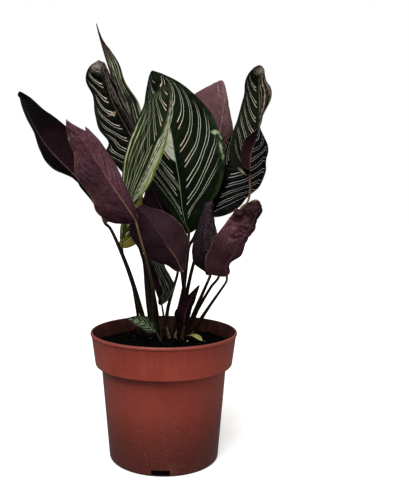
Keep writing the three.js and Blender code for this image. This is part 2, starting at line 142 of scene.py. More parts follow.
LEAVES = [
    Leaf("far_left", PURPLE_SIDE,
         midrib=[(-47, 0, 192), (-54.5, -2, 208), (-68.5, -5, 228), (-90, -9, 251), (-102, -12, 271),
             (-112, -12, 295)],
         facing=[(0.4, 0.85, 0.25), (0.5, 0.8, 0.3)],
         left=Half([14, 20, 22, 23.5, 22, 19, 12.5], [35, 35, 30], [0, 10, 0]),
         right=Half([2, 2.5, 9.5, 19, 19.5, 17, 25], [36, 34, 18, 34, 30], [10]),
         stem=[(-14.2, 29, 93), (-18.8, 22, 114), (-28, 12, 148), (-36.2, 6, 171), (-43, 2, 187)],
         radii=(2.2, 1.9, 1.2), wave=(1.5, 2.5),
         look=dict(under="#1b0c11", under_light="#2e171f", under_deep="#060304", under_rib="#75555e", rib_width=0.36,
             dark_tip=0.9, net=0.2)),
    Leaf("front_left", PURPLE_SIDE,
         midrib=[(-21, -36, 195), (-25, -39, 202), (-38, -47, 222), (-52, -55, 244), (-68.2, -60, 268.5)],
         facing=[(-0.1, 1, 0), (-0.2, 0.95, 0)],
         left=Half([9, 13, 16, 18.5, 17.5, 16.3, 13], [20, 20, 15], [60, 55, 40]),
         right=Half([18.3, 20.8, 17.8, 17.8, 16.7, 10, 8.5], [10, 8, 8], [10, 15, 15]),
         stem=[(-2.5, 17, 93), (-4.8, 8, 111), (-7, -8, 131), (-10.6, -24, 153), (-12.9, -32, 164), (-15.3, -37, 174),
             (-19, -38, 188)],
         radii=(1.6, 1.1, 0.8), wave=(1.5, 2.5),
         end=[(-1, 0.875), (-0.8, 0.862), (-0.6, 0.845), (-0.45, 0.885), (-0.3, 0.93), (-0.1, 0.975), (0.1, 1.0),
             (1, 1.0)],
         dry_stem=0.7,
         look=dict(under="#582f38", under_light="#906270", under_deep="#2a1118", under_rib="#a08066", rib_fade=0.55,
             dry_right=0.9, dry_tip=0.8, net=0.6, fold=0.5, dark_base=0.75,
             patches=((0.868, 0.9, 0.016, 0.14, 0.8, "#d3bd9c"), (0.872, 0.5, 0.01, 0.1, 0.5, "#a98a6c"),
                 (0.6, 0.1, 0.2, 0.12, 0.35, "#3a1a22")))),
    Leaf("rolled_tall", GREEN_SIDE,
         midrib=[(-21, 46, 223), (-28, 51, 247), (-38, 60, 288), (-47, 67, 321), (-54, 71, 343), (-61, 75, 369)],
         facing=[(1, -0.25, 0), (1, -0.25, 0.2)],
         left=Half([5, 6, 6, 6, 5, 4, 2.5], [10], [30, 40, 40]),
         right=Half([16, 19.5, 19, 18.5, 11.5, 10.8, 5.5], [45, 45, 40], [20]),
         stem=[(-4, 38, 93), (-8, 39, 109), (-10, 42, 140), (-14, 46, 184)], radii=(2.2, 1.7, 1.0),
         look=dict(deep="#12160c", mid="#2c3322", stripe="#b9b39a", under="#3d2a2b", under_light="#5f4945", pairs=8.0,
             streaks_left=0.9, streaks_right=0.95, spill=1.0, lines=4.5, streak_light="#9b9e80",
             streak_dark="#14130c", thin_right=0.12,
             patches=((0.52, 0.55, 0.06, 0.35, 0.85, "#120c0c"), (0.72, -0.15, 0.2, 0.4, 0.7, "#34201c"),
                 (0.86, 0.3, 0.1, 1.5, 0.75, "#54403a"), (0.98, 0.0, 0.2, 3.0, 0.95, "#1f0f0e")))),
    Leaf("back_left", GREEN_SIDE,
         midrib=[(-21, 30, 228), (-27, 35, 259), (-38, 39, 281), (-49, 43, 303), (-56, 42, 330)],
         facing=[(-0.5, -0.85, 0.1)],
         left=Half([17, 25, 18.4, 20.5, 17.5, 12.5, 14.5], [35], [5]),
         right=Half([14, 18.5, 17.5, 20.5, 19.5, 21, 17], [40, 38, 35], [0]),
         stem=[(-9, 33, 93), (-11, 32, 110), (-13, 30, 142), (-15, 31, 176)], radii=(2.2, 1.7, 1.0), tip=34,
         end=[(-1, 1.0), (0.3, 1.0), (0.7, 0.975), (1, 0.955)],
         look=dict(deep="#040502", mid="#14180e", stripe="#e6cdb8", stripe_out="#e0d8c6", sweep=0.62,
             streaks_right=0.92, lines=4.0, streak_light="#ab9c92", streak_dark="#1d1514", stripe_width=0.032,
             apart=0.105, pale_below=0.8,
             patches=((0.97, 0.0, 0.06, 1.0, 0.8, "#9d9389"), (0.57, -0.2, 0.014, 0.24, 0.75, "#b09482")))),
    Leaf("folded_centre", GREEN_SIDE,
         midrib=[(-28, -8, 206), (-18, -8, 228), (-2, -8, 259), (5, -2, 285), (3, 4, 304)],
         facing=[(-0.45, -0.85, 0.1), (-0.5, -0.85, 0.1)],
         left=Half([12, 17, 21, 22.5, 22.5, 22, 22.5], [35], [5]),
         right=Half([21, 24, 21.5, 18, 12.5, 11.5, 10], [40, 42, 52], [0]),
         stem=[(-9, 24, 93), (-12.8, 10, 120), (-14.4, 5, 138), (-15.9, 0, 159), (-19.2, -4, 172), (-24, -7, 191)],
         radii=(1.7, 1.4, 1.0),
         look=dict(deep="#0c1205", mid="#2c3d1a", stripe="#d6bda6", stripe_out="#b4b597", pairs=8.0,
             stripe_width=0.03, sweep=1.3, streaks_left=0.9, streaks_right=0.95, spill=0.38, streak_top=0.92,
             lines=4.5, lines_left=8.0, thin_left=0.2, streak_light="#dde0bf", streak_dark="#1f2b0d",
             bright="#79862f", bright_left=0.08, bright_right=0.75,
             patches=((0.06, 0.8, 0.07, 0.4, 1.0, "#16160a"), (0.97, 0.0, 0.05, 1.2, 0.7, "#10150a"),
                 (0.8, -1.0, 0.4, 0.06, 0.8, "#0c0d06"), (0.32, 0.5, 0.3, 0.22, 0.4, "#dfe3c4")))),
    Leaf("large_centre", GREEN_SIDE,
         midrib=[(21, 10, 183), (17, 10, 195), (15, 12, 206), (13, 15, 225), (9, 20, 248), (4, 27, 276),
             (-10, 36, 320)],
         facing=[(0.25, -0.95, 0.1), (0.2, -0.95, 0.1)],
         left=Half([12, 25, 32.5, 34.5, 31, 23.5, 17.3], [20, 18, 18], [5]),
         right=Half([20, 32.5, 40, 41.5, 38, 32, 26], [15], [5]),
         stem=[(12, 30, 93), (16, 20, 117), (17.4, 13, 144), (18, 11, 159), (19.2, 10, 170)], radii=(2.2, 1.6, 1.1),
         tip=8,
         look=dict(deep="#040a02", mid="#14240d", stripe="#eecab5", stripe_out="#dfe0cb", rib="#93a57e",
             rib_width=0.38, rib_top=0.68, shift_right=0.5, top=0.88, stripe_width=0.026, wide_left=1.15,
             pale_below=0.9,
             # The sheen lanes here are painted reflections.
             sheens=((0.425, 0.62, 0.32, 1.0, "#d8d9c6"), (0.25, 0.28, 0.45, 0.6, "#8fa084")),
             # The four small pale patches by the right margin are painted highlights.
             patches=((0.50, 0.95, 0.16, 0.13, 0.5, "#24401f"), (0.24, 0.97, 0.09, 0.1, 0.45, "#2b3b1b"),
                 (0.565, 0.90, 0.014, 0.09, 0.7, "#bcc6a0"), (0.535, 0.98, 0.02, 0.03, 0.7, "#b3bd92"),
                 (0.465, 0.93, 0.035, 0.035, 0.8, "#c3c8a4"), (0.40, 0.95, 0.03, 0.03, 0.65, "#98a67c"),
                 (0.93, -0.8, 0.1, 0.4, 0.6, "#0a1406")))),
    Leaf("back_right", PURPLE_SIDE,
         midrib=[(44, 45, 230), (49, 48, 267), (53, 53, 295), (51.6, 60, 312.2), (50, 71, 317.3), (48, 82, 310.5)],
         facing=[(-0.3, 0.9, 0), (-0.3, 0.9, 0), (-0.2, 0.9, 0), (0.1, 0.7, -0.5), (0.1, 0.2, -1)],
         left=Half([16.5, 21.5, 23, 13.5, 4, 2.5, 2], [35, 30, 28, 30, 10], [15]),
         right=Half([16, 25, 28, 29, 32.3, 32, 23], [10], [10]),
         stem=[(8, 37, 93), (17, 34, 132), (20, 35, 156), (22, 37, 170), (27, 39, 179), (36, 43, 202)],
         radii=(2.0, 1.5, 1.0),
         look=dict(under="#50353a", under_light="#70494e", under_deep="#3a2024", under_rib="#8d6f70", rib_width=0.3,
             net=0.12,
             # Painted sheen and highlights: the pale mauve patch on the left half and the small pale marks by the
             # midrib.
             patches=((0.6, -0.5, 0.4, 0.55, 0.75, "#93706f"), (0.62, -0.03, 0.04, 0.05, 0.7, "#b39c96"),
                 (0.47, -0.04, 0.05, 0.06, 0.6, "#a58d88"), (0.72, 0.12, 0.08, 0.015, 0.6, "#a58d88")))),
    Leaf("front_narrow", PURPLE_SIDE,
         midrib=[(37, -14, 152), (32, -18, 163), (30, -20, 176), (31, -19, 192), (34, -16, 203), (37, -12, 210)],
         facing=[(0.1, 1, 0)],
         left=Half([8, 13, 15.5, 16.5, 16, 15, 12.5], [35, 35, 45], [20]),
         right=Half([18.5, 19.5, 17.6, 13, 9.5, 7.5, 6.5], [50, 50, 45], [20]),
         stem=[(17.6, 26, 93), (25, 14, 114), (31, 0, 133), (35, -12, 146)], radii=(2.1, 1.6, 1.1), tip=14,
         crumple=(0.5, 0.0),
         look=dict(under="#0b0507", under_light="#2a1820", under_rib="#22121a", net=0.85, net_scale=330.0,
             net_tone="#7c6971", folds=1.5)),
    Leaf("upper_right", GREEN_SIDE,
         midrib=[(68, -6, 230), (69, -3, 247), (75, 2, 265), (77, 8, 285), (77, 12, 304), (77, 8, 319)],
         facing=[(-0.3, -0.95, 0), (-0.2, -0.95, 0)],
         left=Half([15.5, 18, 19, 17, 15, 12, 11], [15], [15]),
         right=Half([7.5, 10, 8, 6.2, 13.8, 14, 8.2], [140, 128, 52, 38, 32], [10]),
         stem=[(21, 34, 93), (27, 25, 112), (33, 16, 126), (39.5, 9, 139), (45.5, 5, 148), (51, 3, 166), (55, 1, 187),
             (62, -2, 204), (67, -3, 209), (69, -4, 218)],
         radii=(1.6, 1.0, 0.8), tip=26, dry_stem=0.8,
         look=dict(deep="#080a04", mid="#1f2515", stripe="#e6cdb6", stripe_out="#dad2c0", under="#1f0b13",
             under_light="#3f2029", pairs=8.0, sweep=0.75, stripe_width=0.021, apart=0.1, streaks_right=0.9,
             lines=3.5, streak_light="#a89786", streak_dark="#121309",
             patches=((0.03, -0.7, 0.04, 0.2, 0.7, "#a8a184"), (0.96, 0.2, 0.06, 0.8, 0.7, "#958b7a")))),
    Leaf("right", GREEN_SIDE,
         midrib=[(39, 17, 197), (46, 22, 219), (58, 30, 245), (71, 38, 270), (78, 43, 286)], facing=[(-0.1, -1, 0.1)],
         left=Half([11, 14, 15, 13, 11, 9, 5], [15], [10]),
         right=Half([22, 26.3, 32, 31.5, 27.4, 24, 13], [12], [10]),
         stem=[(15, 36, 93), (19, 28, 124), (23, 20, 148), (28, 17, 167), (34, 15, 182)], radii=(2.0, 1.5, 1.0),
         look=dict(deep="#010101", mid="#040503", stripe="#d3cac0", stripe_out="#c8c7bf", pairs=10.0, rib="#0a0c08",
             sweep=0.6, stripe_width=0.025, apart=0.13, end=0.95)),
    Leaf("front_right", PURPLE_SIDE,
         midrib=[(49, -22, 152), (48, -26, 160), (53, -33, 170), (58, -39, 181), (64, -44, 191), (68, -47, 203),
             (67, -46, 212)],
         facing=[(-0.35, 0.9, 0.1)],
         left=Half([8, 10.5, 10, 9.5, 7, 7.6, 8.7], [30, 30, 38, 30], [0]),
         right=Half([16.5, 18, 18.5, 18, 17, 16, 15.5], [20], [10]),
         stem=[(22.5, 27.2, 93), (32.2, 10, 113), (39.2, -4, 128), (43.6, -13, 137), (47, -20, 144), (49, -22, 148)],
         radii=(2.3, 1.3, 0.9), wave=(1.0, 3.0), tip=20, crumple=(3.4, 0.3),
         look=dict(under="#4a2932", under_light="#8a5a64", under_deep="#1f1013", under_rib="#6a4450", dry_left=0.5,
             dry_right=0.7, dry_tip=0.7, net=0.3, net_scale=300.0, folds=3.2, folds_from=0.5, dark_tip=0.85,
             dark_base=0.5,
             patches=((0.5, 0.55, 0.14, 0.4, 0.5, "#9a6a73"), (0.4, -0.5, 0.25, 0.25, 0.4, "#93666f"),
                 (0.72, 0.25, 0.05, 0.22, 0.55, "#a37a84"), (0.66, 0.0, 0.03, 0.3, 0.6, "#1f1013"),
                 (0.8, -0.1, 0.03, 0.35, 0.6, "#1f1013")))),
    Leaf("front_centre", PURPLE_SIDE,
         midrib=[(14, -16, 155), (10, -19, 165), (3, -21, 175), (-3, -23, 184), (-12, -24, 197), (-21, -24, 207)],
         facing=[(0, 1, 0), (0, 1, 0.1)],
         left=Half([8, 17, 19, 19, 17, 13.5, 7], [15, 15, 20], [15, 15, 20]),
         right=Half([10, 14.5, 20, 22, 22, 22, 20], [15, 15, 20], [15, 15, 20]),
         stem=[(7, 26, 93), (12, 18, 110), (14, 11, 124), (16, 0, 138), (15, -12, 148)], radii=(2.2, 1.6, 1.2),
         tip=16,
         look=dict(under="#29161d", under_light="#46303a", under_deep="#14090e", under_rib="#9a7458", rib_fade=0.42,
             rib_width=0.3, rib_height=0.55, rib_end=0.08, dry_left=0.45, dry_tip=0.6, net=0.3, net_scale=700.0,
             net_tone="#4f3a44",
             patches=((0.45, -0.45, 0.3, 0.5, 0.4, "#3d2220"),))),
    Leaf("over_rim", GREEN_SIDE,
         midrib=[(-6, 8, 100), (-12, 4, 106), (-20, 1, 111), (-30, -1, 114)], facing=[(0.1, -1, 0.5)],
         left=Half([4, 6, 7, 7, 6, 5, 3], [25], [10]), right=Half([4, 5, 5, 6, 5, 4, 3], [20], [10]),
         stem=[(-2, 6, 93), (-4, 7, 96.5)], radii=(1.0, 0.9, 0.8),
         look=dict(deep="#101a0a", mid="#2f4024", stripe="#b9c4a8", stripe_out="#b3bd9f", rib="#8b9a74", pairs=6.0,
             stripe_width=0.07, apart=0.14)),
    Leaf("half_rolled", GREEN_SIDE,
         midrib=[(-1.6, 10, 123.5), (-6, 8, 135), (-8, 8, 146), (-11.5, 10, 156), (-12.5, 13, 165)],
         facing=[(0.2, -1, 0)],
         left=Half([4, 6, 7, 8, 8, 7, 5], [100, 90, 80], [30]), right=Half([10, 15, 16, 14, 12, 12, 8], [10], [20]),
         stem=[(1, 22, 93), (0.2, 15, 110)], radii=(1.2, 1.0, 0.8),
         look=dict(deep="#0b0908", mid="#22231d", stripe="#a5a79a", stripe_out="#96988c", under="#1f0e16",
             under_light="#36202b", pairs=8.0, stripe_width=0.03, streaks_right=0.85, streak_light="#9a9c8c",
             streak_dark="#141510")),
    Leaf("young_spear", PURPLE_SIDE,
         midrib=[(17, 10, 104), (17, 6, 112), (19, 4, 121), (23.5, 3, 131.5), (29.3, 4, 141)], facing=[(0, 1, 0)],
         left=Half([4, 6, 6, 4, 4, 3, 2], [25], [30]), right=Half([6, 9, 8, 5, 4, 3, 2], [10], [20]),
         stem=[(15, 11, 93), (16, 11, 98)], radii=(1.6, 1.4, 1.0),
         look=dict(under="#180a0f", under_light="#34161f", under_rib="#4a2c34")),
    Leaf("yellowing", YELLOWING,
         midrib=[(-34.7, 14, 170.5), (-34.2, 14, 182), (-31, 15, 195), (-25, 17, 209), (-19.5, 20, 221)],
         facing=[(0, -1, 0)],
         left=Half([6, 7, 7, 6, 4.5, 3, 2], [-66, -55, -25], [0]), right=Half([15, 14, 13, 13, 11, 8, 5], [10], [5]),
         stem=[(-21, 34, 93), (-23, 30, 114), (-28.5, 20, 148), (-33.5, 15, 163)], radii=(1.5, 1.1, 0.8),
         look=dict(deep="#2e300d", mid="#747134", stripe="#ddd8b4", stripe_out="#d4cea6", pairs=6.0,
             stripe_width=0.045, apart=0.1,
             patches=((0.06, 0.2, 0.14, 1.2, 0.8, "#9c9042"), (0.85, 0.3, 0.2, 0.8, 0.7, "#7d7a34")))),
    Leaf("hidden_centre", PURPLE_SIDE,
         midrib=[(13, 25, 158), (7, 25, 181), (-3, 25.5, 206), (-14, 26, 228)], facing=[(0, 1, 0)],
         left=Half([9, 12, 14, 14, 13, 11, 7], [10], [10]), right=Half([9, 13, 19, 25, 25, 18, 9], [2], [5]),
         stem=[(1.5, 29, 93), (2.8, 26, 112), (4.8, 25, 123), (8.4, 24, 136), (11.6, 25, 147)], radii=(1.9, 1.5, 1.0),
         look=dict(under="#1f1018", under_light="#3d2530", under_rib="#8a6a72")),
]

OLD_SHEATHS = [
    ([(5, 17, 92), (4, 16, 98), (2, 16, 104)], 1.4),
    ([(10, 14, 92), (10, 13, 97), (11, 13, 101)], 1.5),
    ([(23, 18, 92), (24, 17, 97), (26, 16, 100)], 1.4),
]

DRIED_SCRAP = Leaf("dried_scrap", "dry_leaf",
     midrib=[(20, 17, 95.2), (24, 12, 97), (28, 7, 96.5), (32, 3, 94.6)], facing=[(0.2, -0.3, 1)],
     left=Half([1, 2, 3, 3, 3, 3, 2], [20], [10]), right=Half([1, 2, 3, 4, 4, 3, 2], [20], [10]),
     stem=[], radii=(), crumple=(0.7, 0.0))

# Looks that a leaf keeps where its own look doesn't say otherwise. A patch is its place along and across the blade,
# its size along and across, its strength and its colour. A sheen is a painted reflection, a pale lane on the left
# half:
# the levels of the side veins that it lies between, how far out it reaches, its strength and its colour.
DRY_EDGE = "#b08a5a"
DRY = dict(dry_left=0.0, dry_right=0.0, dry_tip=0.0)
UPPER_LOOK = dict(
    DRY, deep="#0a1206", mid="#1c2e15", stripe="#dfc3ae", stripe_out="#c9c9b2", pairs=9.0, sweep=1.0, shift_right=0.0,
    stripe_width=0.034, wide_left=1.0, apart=0.115, top=0.9, end=0.83, pale_below=0.6, rib="#22331c", rib_width=0.45,
    rib_top=1.0, streaks_left=0.0, streaks_right=0.0, spill=0.0, streak_top=1.2, lines=6.0, lines_left=0.0,
    thin_left=0.0, thin_right=0.0, streak_light="#7f8a6c", streak_dark="#171b10", bright_left=0.0, bright_right=0.0,
    bright="#71802f", sheens=(), patches=(),
)
UNDER_LOOK = dict(
    DRY, under="#3d222c", under_light="#5a3542", under_deep="#14080c", under_rib="#8c6257", pairs=9.0, sweep=1.0,
    fold=0.15, dark_base=0.0, dark_tip=0.0, rib_fade=1.0, rib_width=0.5, rib_height=0.9, rib_end=0.3, net=0.25,
    net_scale=420.0, net_tone="", folds=0.0, folds_from=0.0, patches=(),
)


# Settings


def length(label, about, default):
    return bpy.props.FloatProperty(
        name=label, description=about, default=default, min=0.0, unit="LENGTH", subtype="DISTANCE"
    )


def tint(label, about, code):
    return bpy.props.FloatVectorProperty(
        name=label, description=about, default=colour(code), size=4, min=0.0, max=1.0, subtype="COLOR"
    )


def amount(label, about, default):
    return bpy.props.FloatProperty(name=label, description=about, default=default, min=0.0)


def count(label, about, default):
    return bpy.props.IntProperty(name=label, description=about, default=default, min=1)


class PotSettings(bpy.types.PropertyGroup):
    rim_radius: length("Rim radius", "Outer radius of the rolled lip", 0.060)
    height: length("Height", "From the foot to the top of the lip", 0.1045)
    base_radius: length("Base radius", "Outer radius of the body at the foot", 0.045)
    body_top_radius: length("Body top radius", "Outer radius of the body under the collar", 0.0513)
    collar_bottom: length("Collar bottom", "Height of the collar's lower edge", 0.0775)
    collar_radius: length("Collar radius", "Outer radius of the collar's lower edge", 0.0562)
    wall: length("Wall", "Thickness of the moulded wall", 0.0016)
    lip_depth: length("Lip depth", "Height of the rolled lip", 0.0024)
    notches: count("Foot notches", "Number of drainage notches round the foot", 3)
    notch_width: length("Notch width", "Width of a drainage notch", 0.015)
    notch_height: length("Notch height", "Height of a drainage notch", 0.005)
    plastic: tint("Plastic", "Colour of the moulded plastic", "#a8483a")
    plastic_deep: tint("Deep plastic", "Darker tone in the plastic's flow marks", "#97382c")
    dust: tint("Dust", "Colour of dried peat dust on the plastic", "#b08a78")


class PeatSettings(bpy.types.PropertyGroup):
    top: length("Top", "Height of the peat's surface", SOIL_TOP * MM)
    roughness: length("Unevenness", "How far the surface rises and falls", 0.0026)
    crumbs: count("Crumbs", "Number of loose crumbs on the surface", 1500)
    grains: count("Grains", "Number of pale mineral grains on the surface", 26)
    dark: tint("Dark", "Colour of moist peat", "#030202")
    brown: tint("Brown", "Colour of its drier crumbs", "#1c140f")
    pale: tint("Pale", "Colour of the mineral grains", "#c9b9a0")


class FoliageSettings(bpy.types.PropertyGroup):
    rows: count("Rows", "Mesh rows along a blade", 110)
    columns: count("Columns", "Mesh columns across half a blade", 24)
    thickness: length("Thickness", "Thickness of a blade", BLADE_THICKNESS * MM)
    corrugation: length("Corrugation", "Height of the ripples between side veins", 0.0002)
    stem_sides: count("Stem sides", "Mesh sides round a stem", 18)
    stem: tint("Stem", "Colour of the stems", "#150d0c")
    stem_green: tint("Young stem", "Colour of the stems' greener streaks", "#282013")
    # Painted highlight: pale lines along the stems' raised edges.
    stem_highlight: tint("Stem edge", "Colour of the stems' raised edges", "#77573d")
    stem_dry: tint("Dry stem", "Colour of the drying stems", "#7d6046")


class StudioSettings(bpy.types.PropertyGroup):
    floor_radius: length("Floor radius", "Radius of the floor disc", 4.0)
    floor: tint("Floor", "Colour of the floor", "#f2f1ef")
    key: amount("Key light", "Strength of the main soft light", 2.9)
    fill: amount("Fill light", "Strength of the soft light from the front", 0.8)
    sky: amount("Sky", "Strength of the even light from above", 0.5)
    walls: amount("Walls", "Brightness of the pale walls as gloss mirrors them", 0.2)
    floor_glow: amount("Floor glow", "Light from under the floor, which softens the shadow on it", 0.35)


# Shader building


class Field:
    """A value that varies over a surface. Plain arithmetic on it adds nodes to its shader tree."""

    def __init__(self, graph, socket):
        self.graph = graph
        self.socket = socket

    def __add__(self, other):
        return self.graph.math("ADD", self, other)

    def __sub__(self, other):
        return self.graph.math("SUBTRACT", self, other)

    def __rsub__(self, other):
        return self.graph.math("SUBTRACT", other, self)

    def __mul__(self, other):
        return self.graph.math("MULTIPLY", self, other)

    def __truediv__(self, other):
        return self.graph.math("DIVIDE", self, other)

    def __abs__(self):
        return self.graph.math("ABSOLUTE", self)

    def fade(self, low, high, start=0.0, stop=1.0):
        """start below low and stop above high, with a smooth passage between."""
        inputs = {"Value": self, "From Min": low, "From Max": high, "To Min": start, "To Max": stop}
        return self.graph.read("ShaderNodeMapRange", "Result", inputs, interpolation_type="SMOOTHSTEP")

    def fall(self, low, high):
        """1 below low and 0 above high."""
        return self.fade(low, high, 1.0, 0.0)


class Graph:
    """Places nodes in a shader tree. Inputs are numbers, colours or fields."""

    def __init__(self, tree):
        self.tree = tree

    def feed(self, socket, value):
        if isinstance(value, Field):
            self.tree.links.new(value.socket, socket)
        else:
            socket.default_value = value

    def node(self, kind, inputs=None, **settings):
        made = self.tree.nodes.new(kind)
        for name, value in settings.items():
            setattr(made, name, value)
        for name, value in (inputs or {}).items():
            self.feed(made.inputs[name], value)
        return made

    def read(self, kind, output, inputs=None, **settings):
        """One output of a new node."""
        return Field(self, self.node(kind, inputs, **settings).outputs[output])

    def math(self, operation, *values, clamp=False):
        return self.read("ShaderNodeMath", 0, dict(enumerate(values)), operation=operation, use_clamp=clamp)

    def mix(self, factor, first, second):
        return self.read("ShaderNodeMix", 2, {0: factor, 6: first, 7: second}, data_type="RGBA")

    def vector(self, x, y, z):
        return self.read("ShaderNodeCombineXYZ", 0, {"X": x, "Y": y, "Z": z})

    def parts(self, vector):
        """The x, y and z of a vector."""
        split = self.node("ShaderNodeSeparateXYZ", {0: vector})
        return [Field(self, socket) for socket in split.outputs]

    def noise(self, vector, scale, detail=3.0, roughness=0.55, distortion=0.0):
        inputs = {"Vector": vector, "Scale": scale, "Detail": detail, "Roughness": roughness,
                  "Distortion": distortion}
        return self.read("ShaderNodeTexNoise", 0, inputs)

    def place(self):
        """A point's place on the object, in metres."""
        return self.read("ShaderNodeTexCoord", "Object")

    def uv(self, name):
        return self.read("ShaderNodeUVMap", "UV", uv_map=name)


GROUPS = {}


def effect(name, **inputs):
    """A shader node group, built once. The decorated function gets its graph and its inputs in order, and returns
    its outputs by name. An input whose default is None is a vector. Calling the effect places the group in a
    graph with its own values, and returns its outputs in small letters."""

    def new_group(fill):
        tree = bpy.data.node_groups.new(name, "ShaderNodeTree")
        for label, default in inputs.items():
            kind = "NodeSocketVector" if default is None else "NodeSocketFloat"
            socket = tree.interface.new_socket(label.replace("_", " "), in_out="INPUT", socket_type=kind)
            if default is not None:
                socket.default_value = default
        graph = Graph(tree)
        source = tree.nodes.new("NodeGroupInput")
        sink = tree.nodes.new("NodeGroupOutput")
        given = [Field(graph, socket) for _, socket in zip(inputs, source.outputs)]
        for label, made in fill(graph, *given).items():
            tree.interface.new_socket(label, in_out="OUTPUT", socket_type="NodeSocketFloat")
            tree.links.new(made.socket, sink.inputs[label])
        return tree

    def build(fill):
        def placed(g, **values):
            if name not in GROUPS:
                GROUPS[name] = new_group(fill)
            values = {label.replace("_", " "): value for label, value in values.items()}
            made = g.node("ShaderNodeGroup", node_tree=GROUPS[name])
            for label, value in values.items():
                g.feed(made.inputs[label], value)
            return SimpleNamespace(**{socket.name.lower(): Field(g, socket) for socket in made.outputs})

        return placed

    return build


@effect("Blade Place", Map=None)
def blade_place(g, where):
    """Where a point lies on its blade: along from base to tip, across from left to right, out from the midrib."""
    x, along, _ = g.parts(where)
    across = x * 2.0 - 1.0
    return {"Along": along, "Across": across, "Out": abs(across), "Right": g.math("GREATER_THAN", across, 0.0)}


@effect("Side Veins", Along=0.5, Out=0.5, Right=0.0, Pairs=9.0, Sweep=1.0, Seed=0.0)
def side_veins(g, along, out, right, pairs, sweep, seed):
    """The side veins' own coordinate, which counts them from base to tip, with a ridge and fine streaks."""
    near = g.math("MINIMUM", out, VEIN_REACH)
    bend = (near * VEIN_BEND[1] + VEIN_BEND[0]) * near * sweep
    start = along - bend * VEIN_SWEEP[0]
    slope = bend * (VEIN_SWEEP[1] - VEIN_SWEEP[0]) + 1.0
    root = g.math("SQRT", g.math("MAXIMUM", slope * slope - bend * (4 * VEIN_SWEEP[1]) * start, 0.0))
    side = right + seed
    wobble = g.noise(g.vector(along, out, side), 4.0, 0.0) * 0.02 - 0.01
    level = g.math("MAXIMUM", start * 2.0 / (slope + root) + wobble, 0.0)
    phase = g.math("POWER", level, VEIN_CROWDING) * pairs
    ridge = g.math("COSINE", phase * (2 * TURN))
    streak = g.noise(g.vector(phase * 9.0, out * 1.6, side), 1.0, 4.0, 0.6)
    return {"Phase": phase, "Level": level, "Ridge": ridge, "Streak": streak}


@effect("Pinstripes", Phase=0.0, Level=0.5, Out=0.5, Right=0.0, Width=0.05, Apart=0.115, Top=0.9, End=0.83, Seed=0.0)
def pinstripes(g, phase, level, out, right, width, apart, top, end, seed):
    """Paired painted lines that follow the side veins, each pair with a start, an end and a weight of its own."""
    key = g.vector(g.math("FLOOR", phase), right * 7.0, seed)
    luck = g.parts(g.read("ShaderNodeTexWhiteNoise", "Color", {"Vector": key}, noise_dimensions="3D"))
    offset = g.math("FRACT", phase) - 0.5
    apart = luck[1] * 0.04 + apart
    half = width * (out.fade(0.12, 0.42, 1.45, 0.8) * (luck[0] * 0.4 + 0.8))
    line = (abs(abs(offset) - apart) / half).fall(0.6, 1.15)
    lane = abs(offset).fall(apart, apart + 0.08)
    start = luck[2] * 0.07 + 0.10 + g.math("GREATER_THAN", offset, 0.0) * 0.02
    begun = (out - start).fade(0.0, 0.03)
    ended = (out - (luck[1] * 0.08 + end)).fall(-0.12, 0.03)
    window = begun * ended * level.fade(0.01, 0.04) * (level - top).fall(0.0, 0.06)
    return {"Stripe": line * window, "Lane": lane * window}


@effect("Long Streaks", Along=0.5, Across=0.5, Lines=6.0, Thin=0.0, Seed=0.0)
def long_streaks(g, along, across, lines, thin, seed):
    """Lengthwise lines, as the lanes and lines run together on a half that turns its edge to the front."""
    broad = g.noise(g.vector(across * 3.0, along * 2.0, seed), 1.0, 2.0, 0.5)
    grain = g.noise(g.vector(across * (lines * 3.5), along * 2.5, seed), 1.0, 2.0, 0.55)
    line = g.math("COSINE", (broad * 2.4 + across * lines) * TURN) * 0.5 - 0.3 - thin
    return {"Broad": broad.fade(0.38, 0.62), "Fine": (grain * 1.4 + line).fade(0.35, 0.8)}


@effect("Soft Patch", Along=0.5, Across=0.0, Centre_Along=0.5, Centre_Across=0.0, Length=0.05, Width=0.1, Seed=0.0)
def soft_patch(g, along, across, centre_along, centre_across, size_along, size_across, seed):
    """A patch with a broken edge at one place on a blade."""
    up = (along - centre_along) / size_along
    aside = (across - centre_across) / size_across
    ragged = g.noise(g.vector(along * 26.0, across * 9.0, seed), 1.0, 5.0, 0.65, 0.8) * 3.2 - 1.6
    far = g.math("SQRT", up * up + aside * aside)
    return {"Patch": (far + ragged).fall(0.35, 1.1)}


@effect("Crinkle", Vector=None, Scale=400.0)
def crinkle(g, vector, scale):
    """Crooked fine creases, soft lumps and broad folds, as on a blade that loses its water."""
    off = lambda value: abs(value - 0.5)
    crease = off(g.noise(vector, scale, 3.0, 0.6, 1.0)).fall(0.0, 0.03)
    finer = off(g.noise(vector, scale * 2.2, 3.0, 0.6, 0.8)).fade(0.0, 0.035, 0.7, 0.0)
    lump = g.noise(vector, scale * 0.6, 3.0, 0.6, 0.5)
    fold = off(g.noise(vector, scale * 0.25, 2.0, 0.5, 1.2))
    return {"Crease": g.math("MAXIMUM", crease, finer), "Lump": lump.fade(0.3, 0.7), "Fold": fold.fade(0.0, 0.16)}


@effect("Mottle", Vector=None, Scale=60.0)
def mottle(g, vector, scale):
    """Soft patches and fine grain in a surface's tone."""
    broad = g.noise(vector, scale, 3.0, 0.5)
    fine = g.noise(vector, scale * 12.0, 4.0, 0.65)
    return {"Broad": broad.fade(0.3, 0.7), "Fine": fine.fade(0.3, 0.7)}


@effect("Dry Margin", Across=0.0, Along=0.5, Left=0.2, Right=0.2, Tip=0.2, Seed=0.0)
def dry_margin(g, across, along, left, right, tip, seed):
    """Where a blade's edge has dried, as a thin uneven line along each margin and at the tip."""
    uneven = g.noise(g.vector(along * 14.0, across, seed), 1.0, 4.0, 0.6) * 0.075
    on_right = g.math("GREATER_THAN", across, 0.0)
    edge = (abs(across) + uneven).fade(1.0, 1.04) * (on_right * right + (1.0 - on_right) * left)
    end = (along + uneven * 0.3).fade(0.985, 1.0) * tip
    return {"Dry": g.math("MAXIMUM", edge, end)}


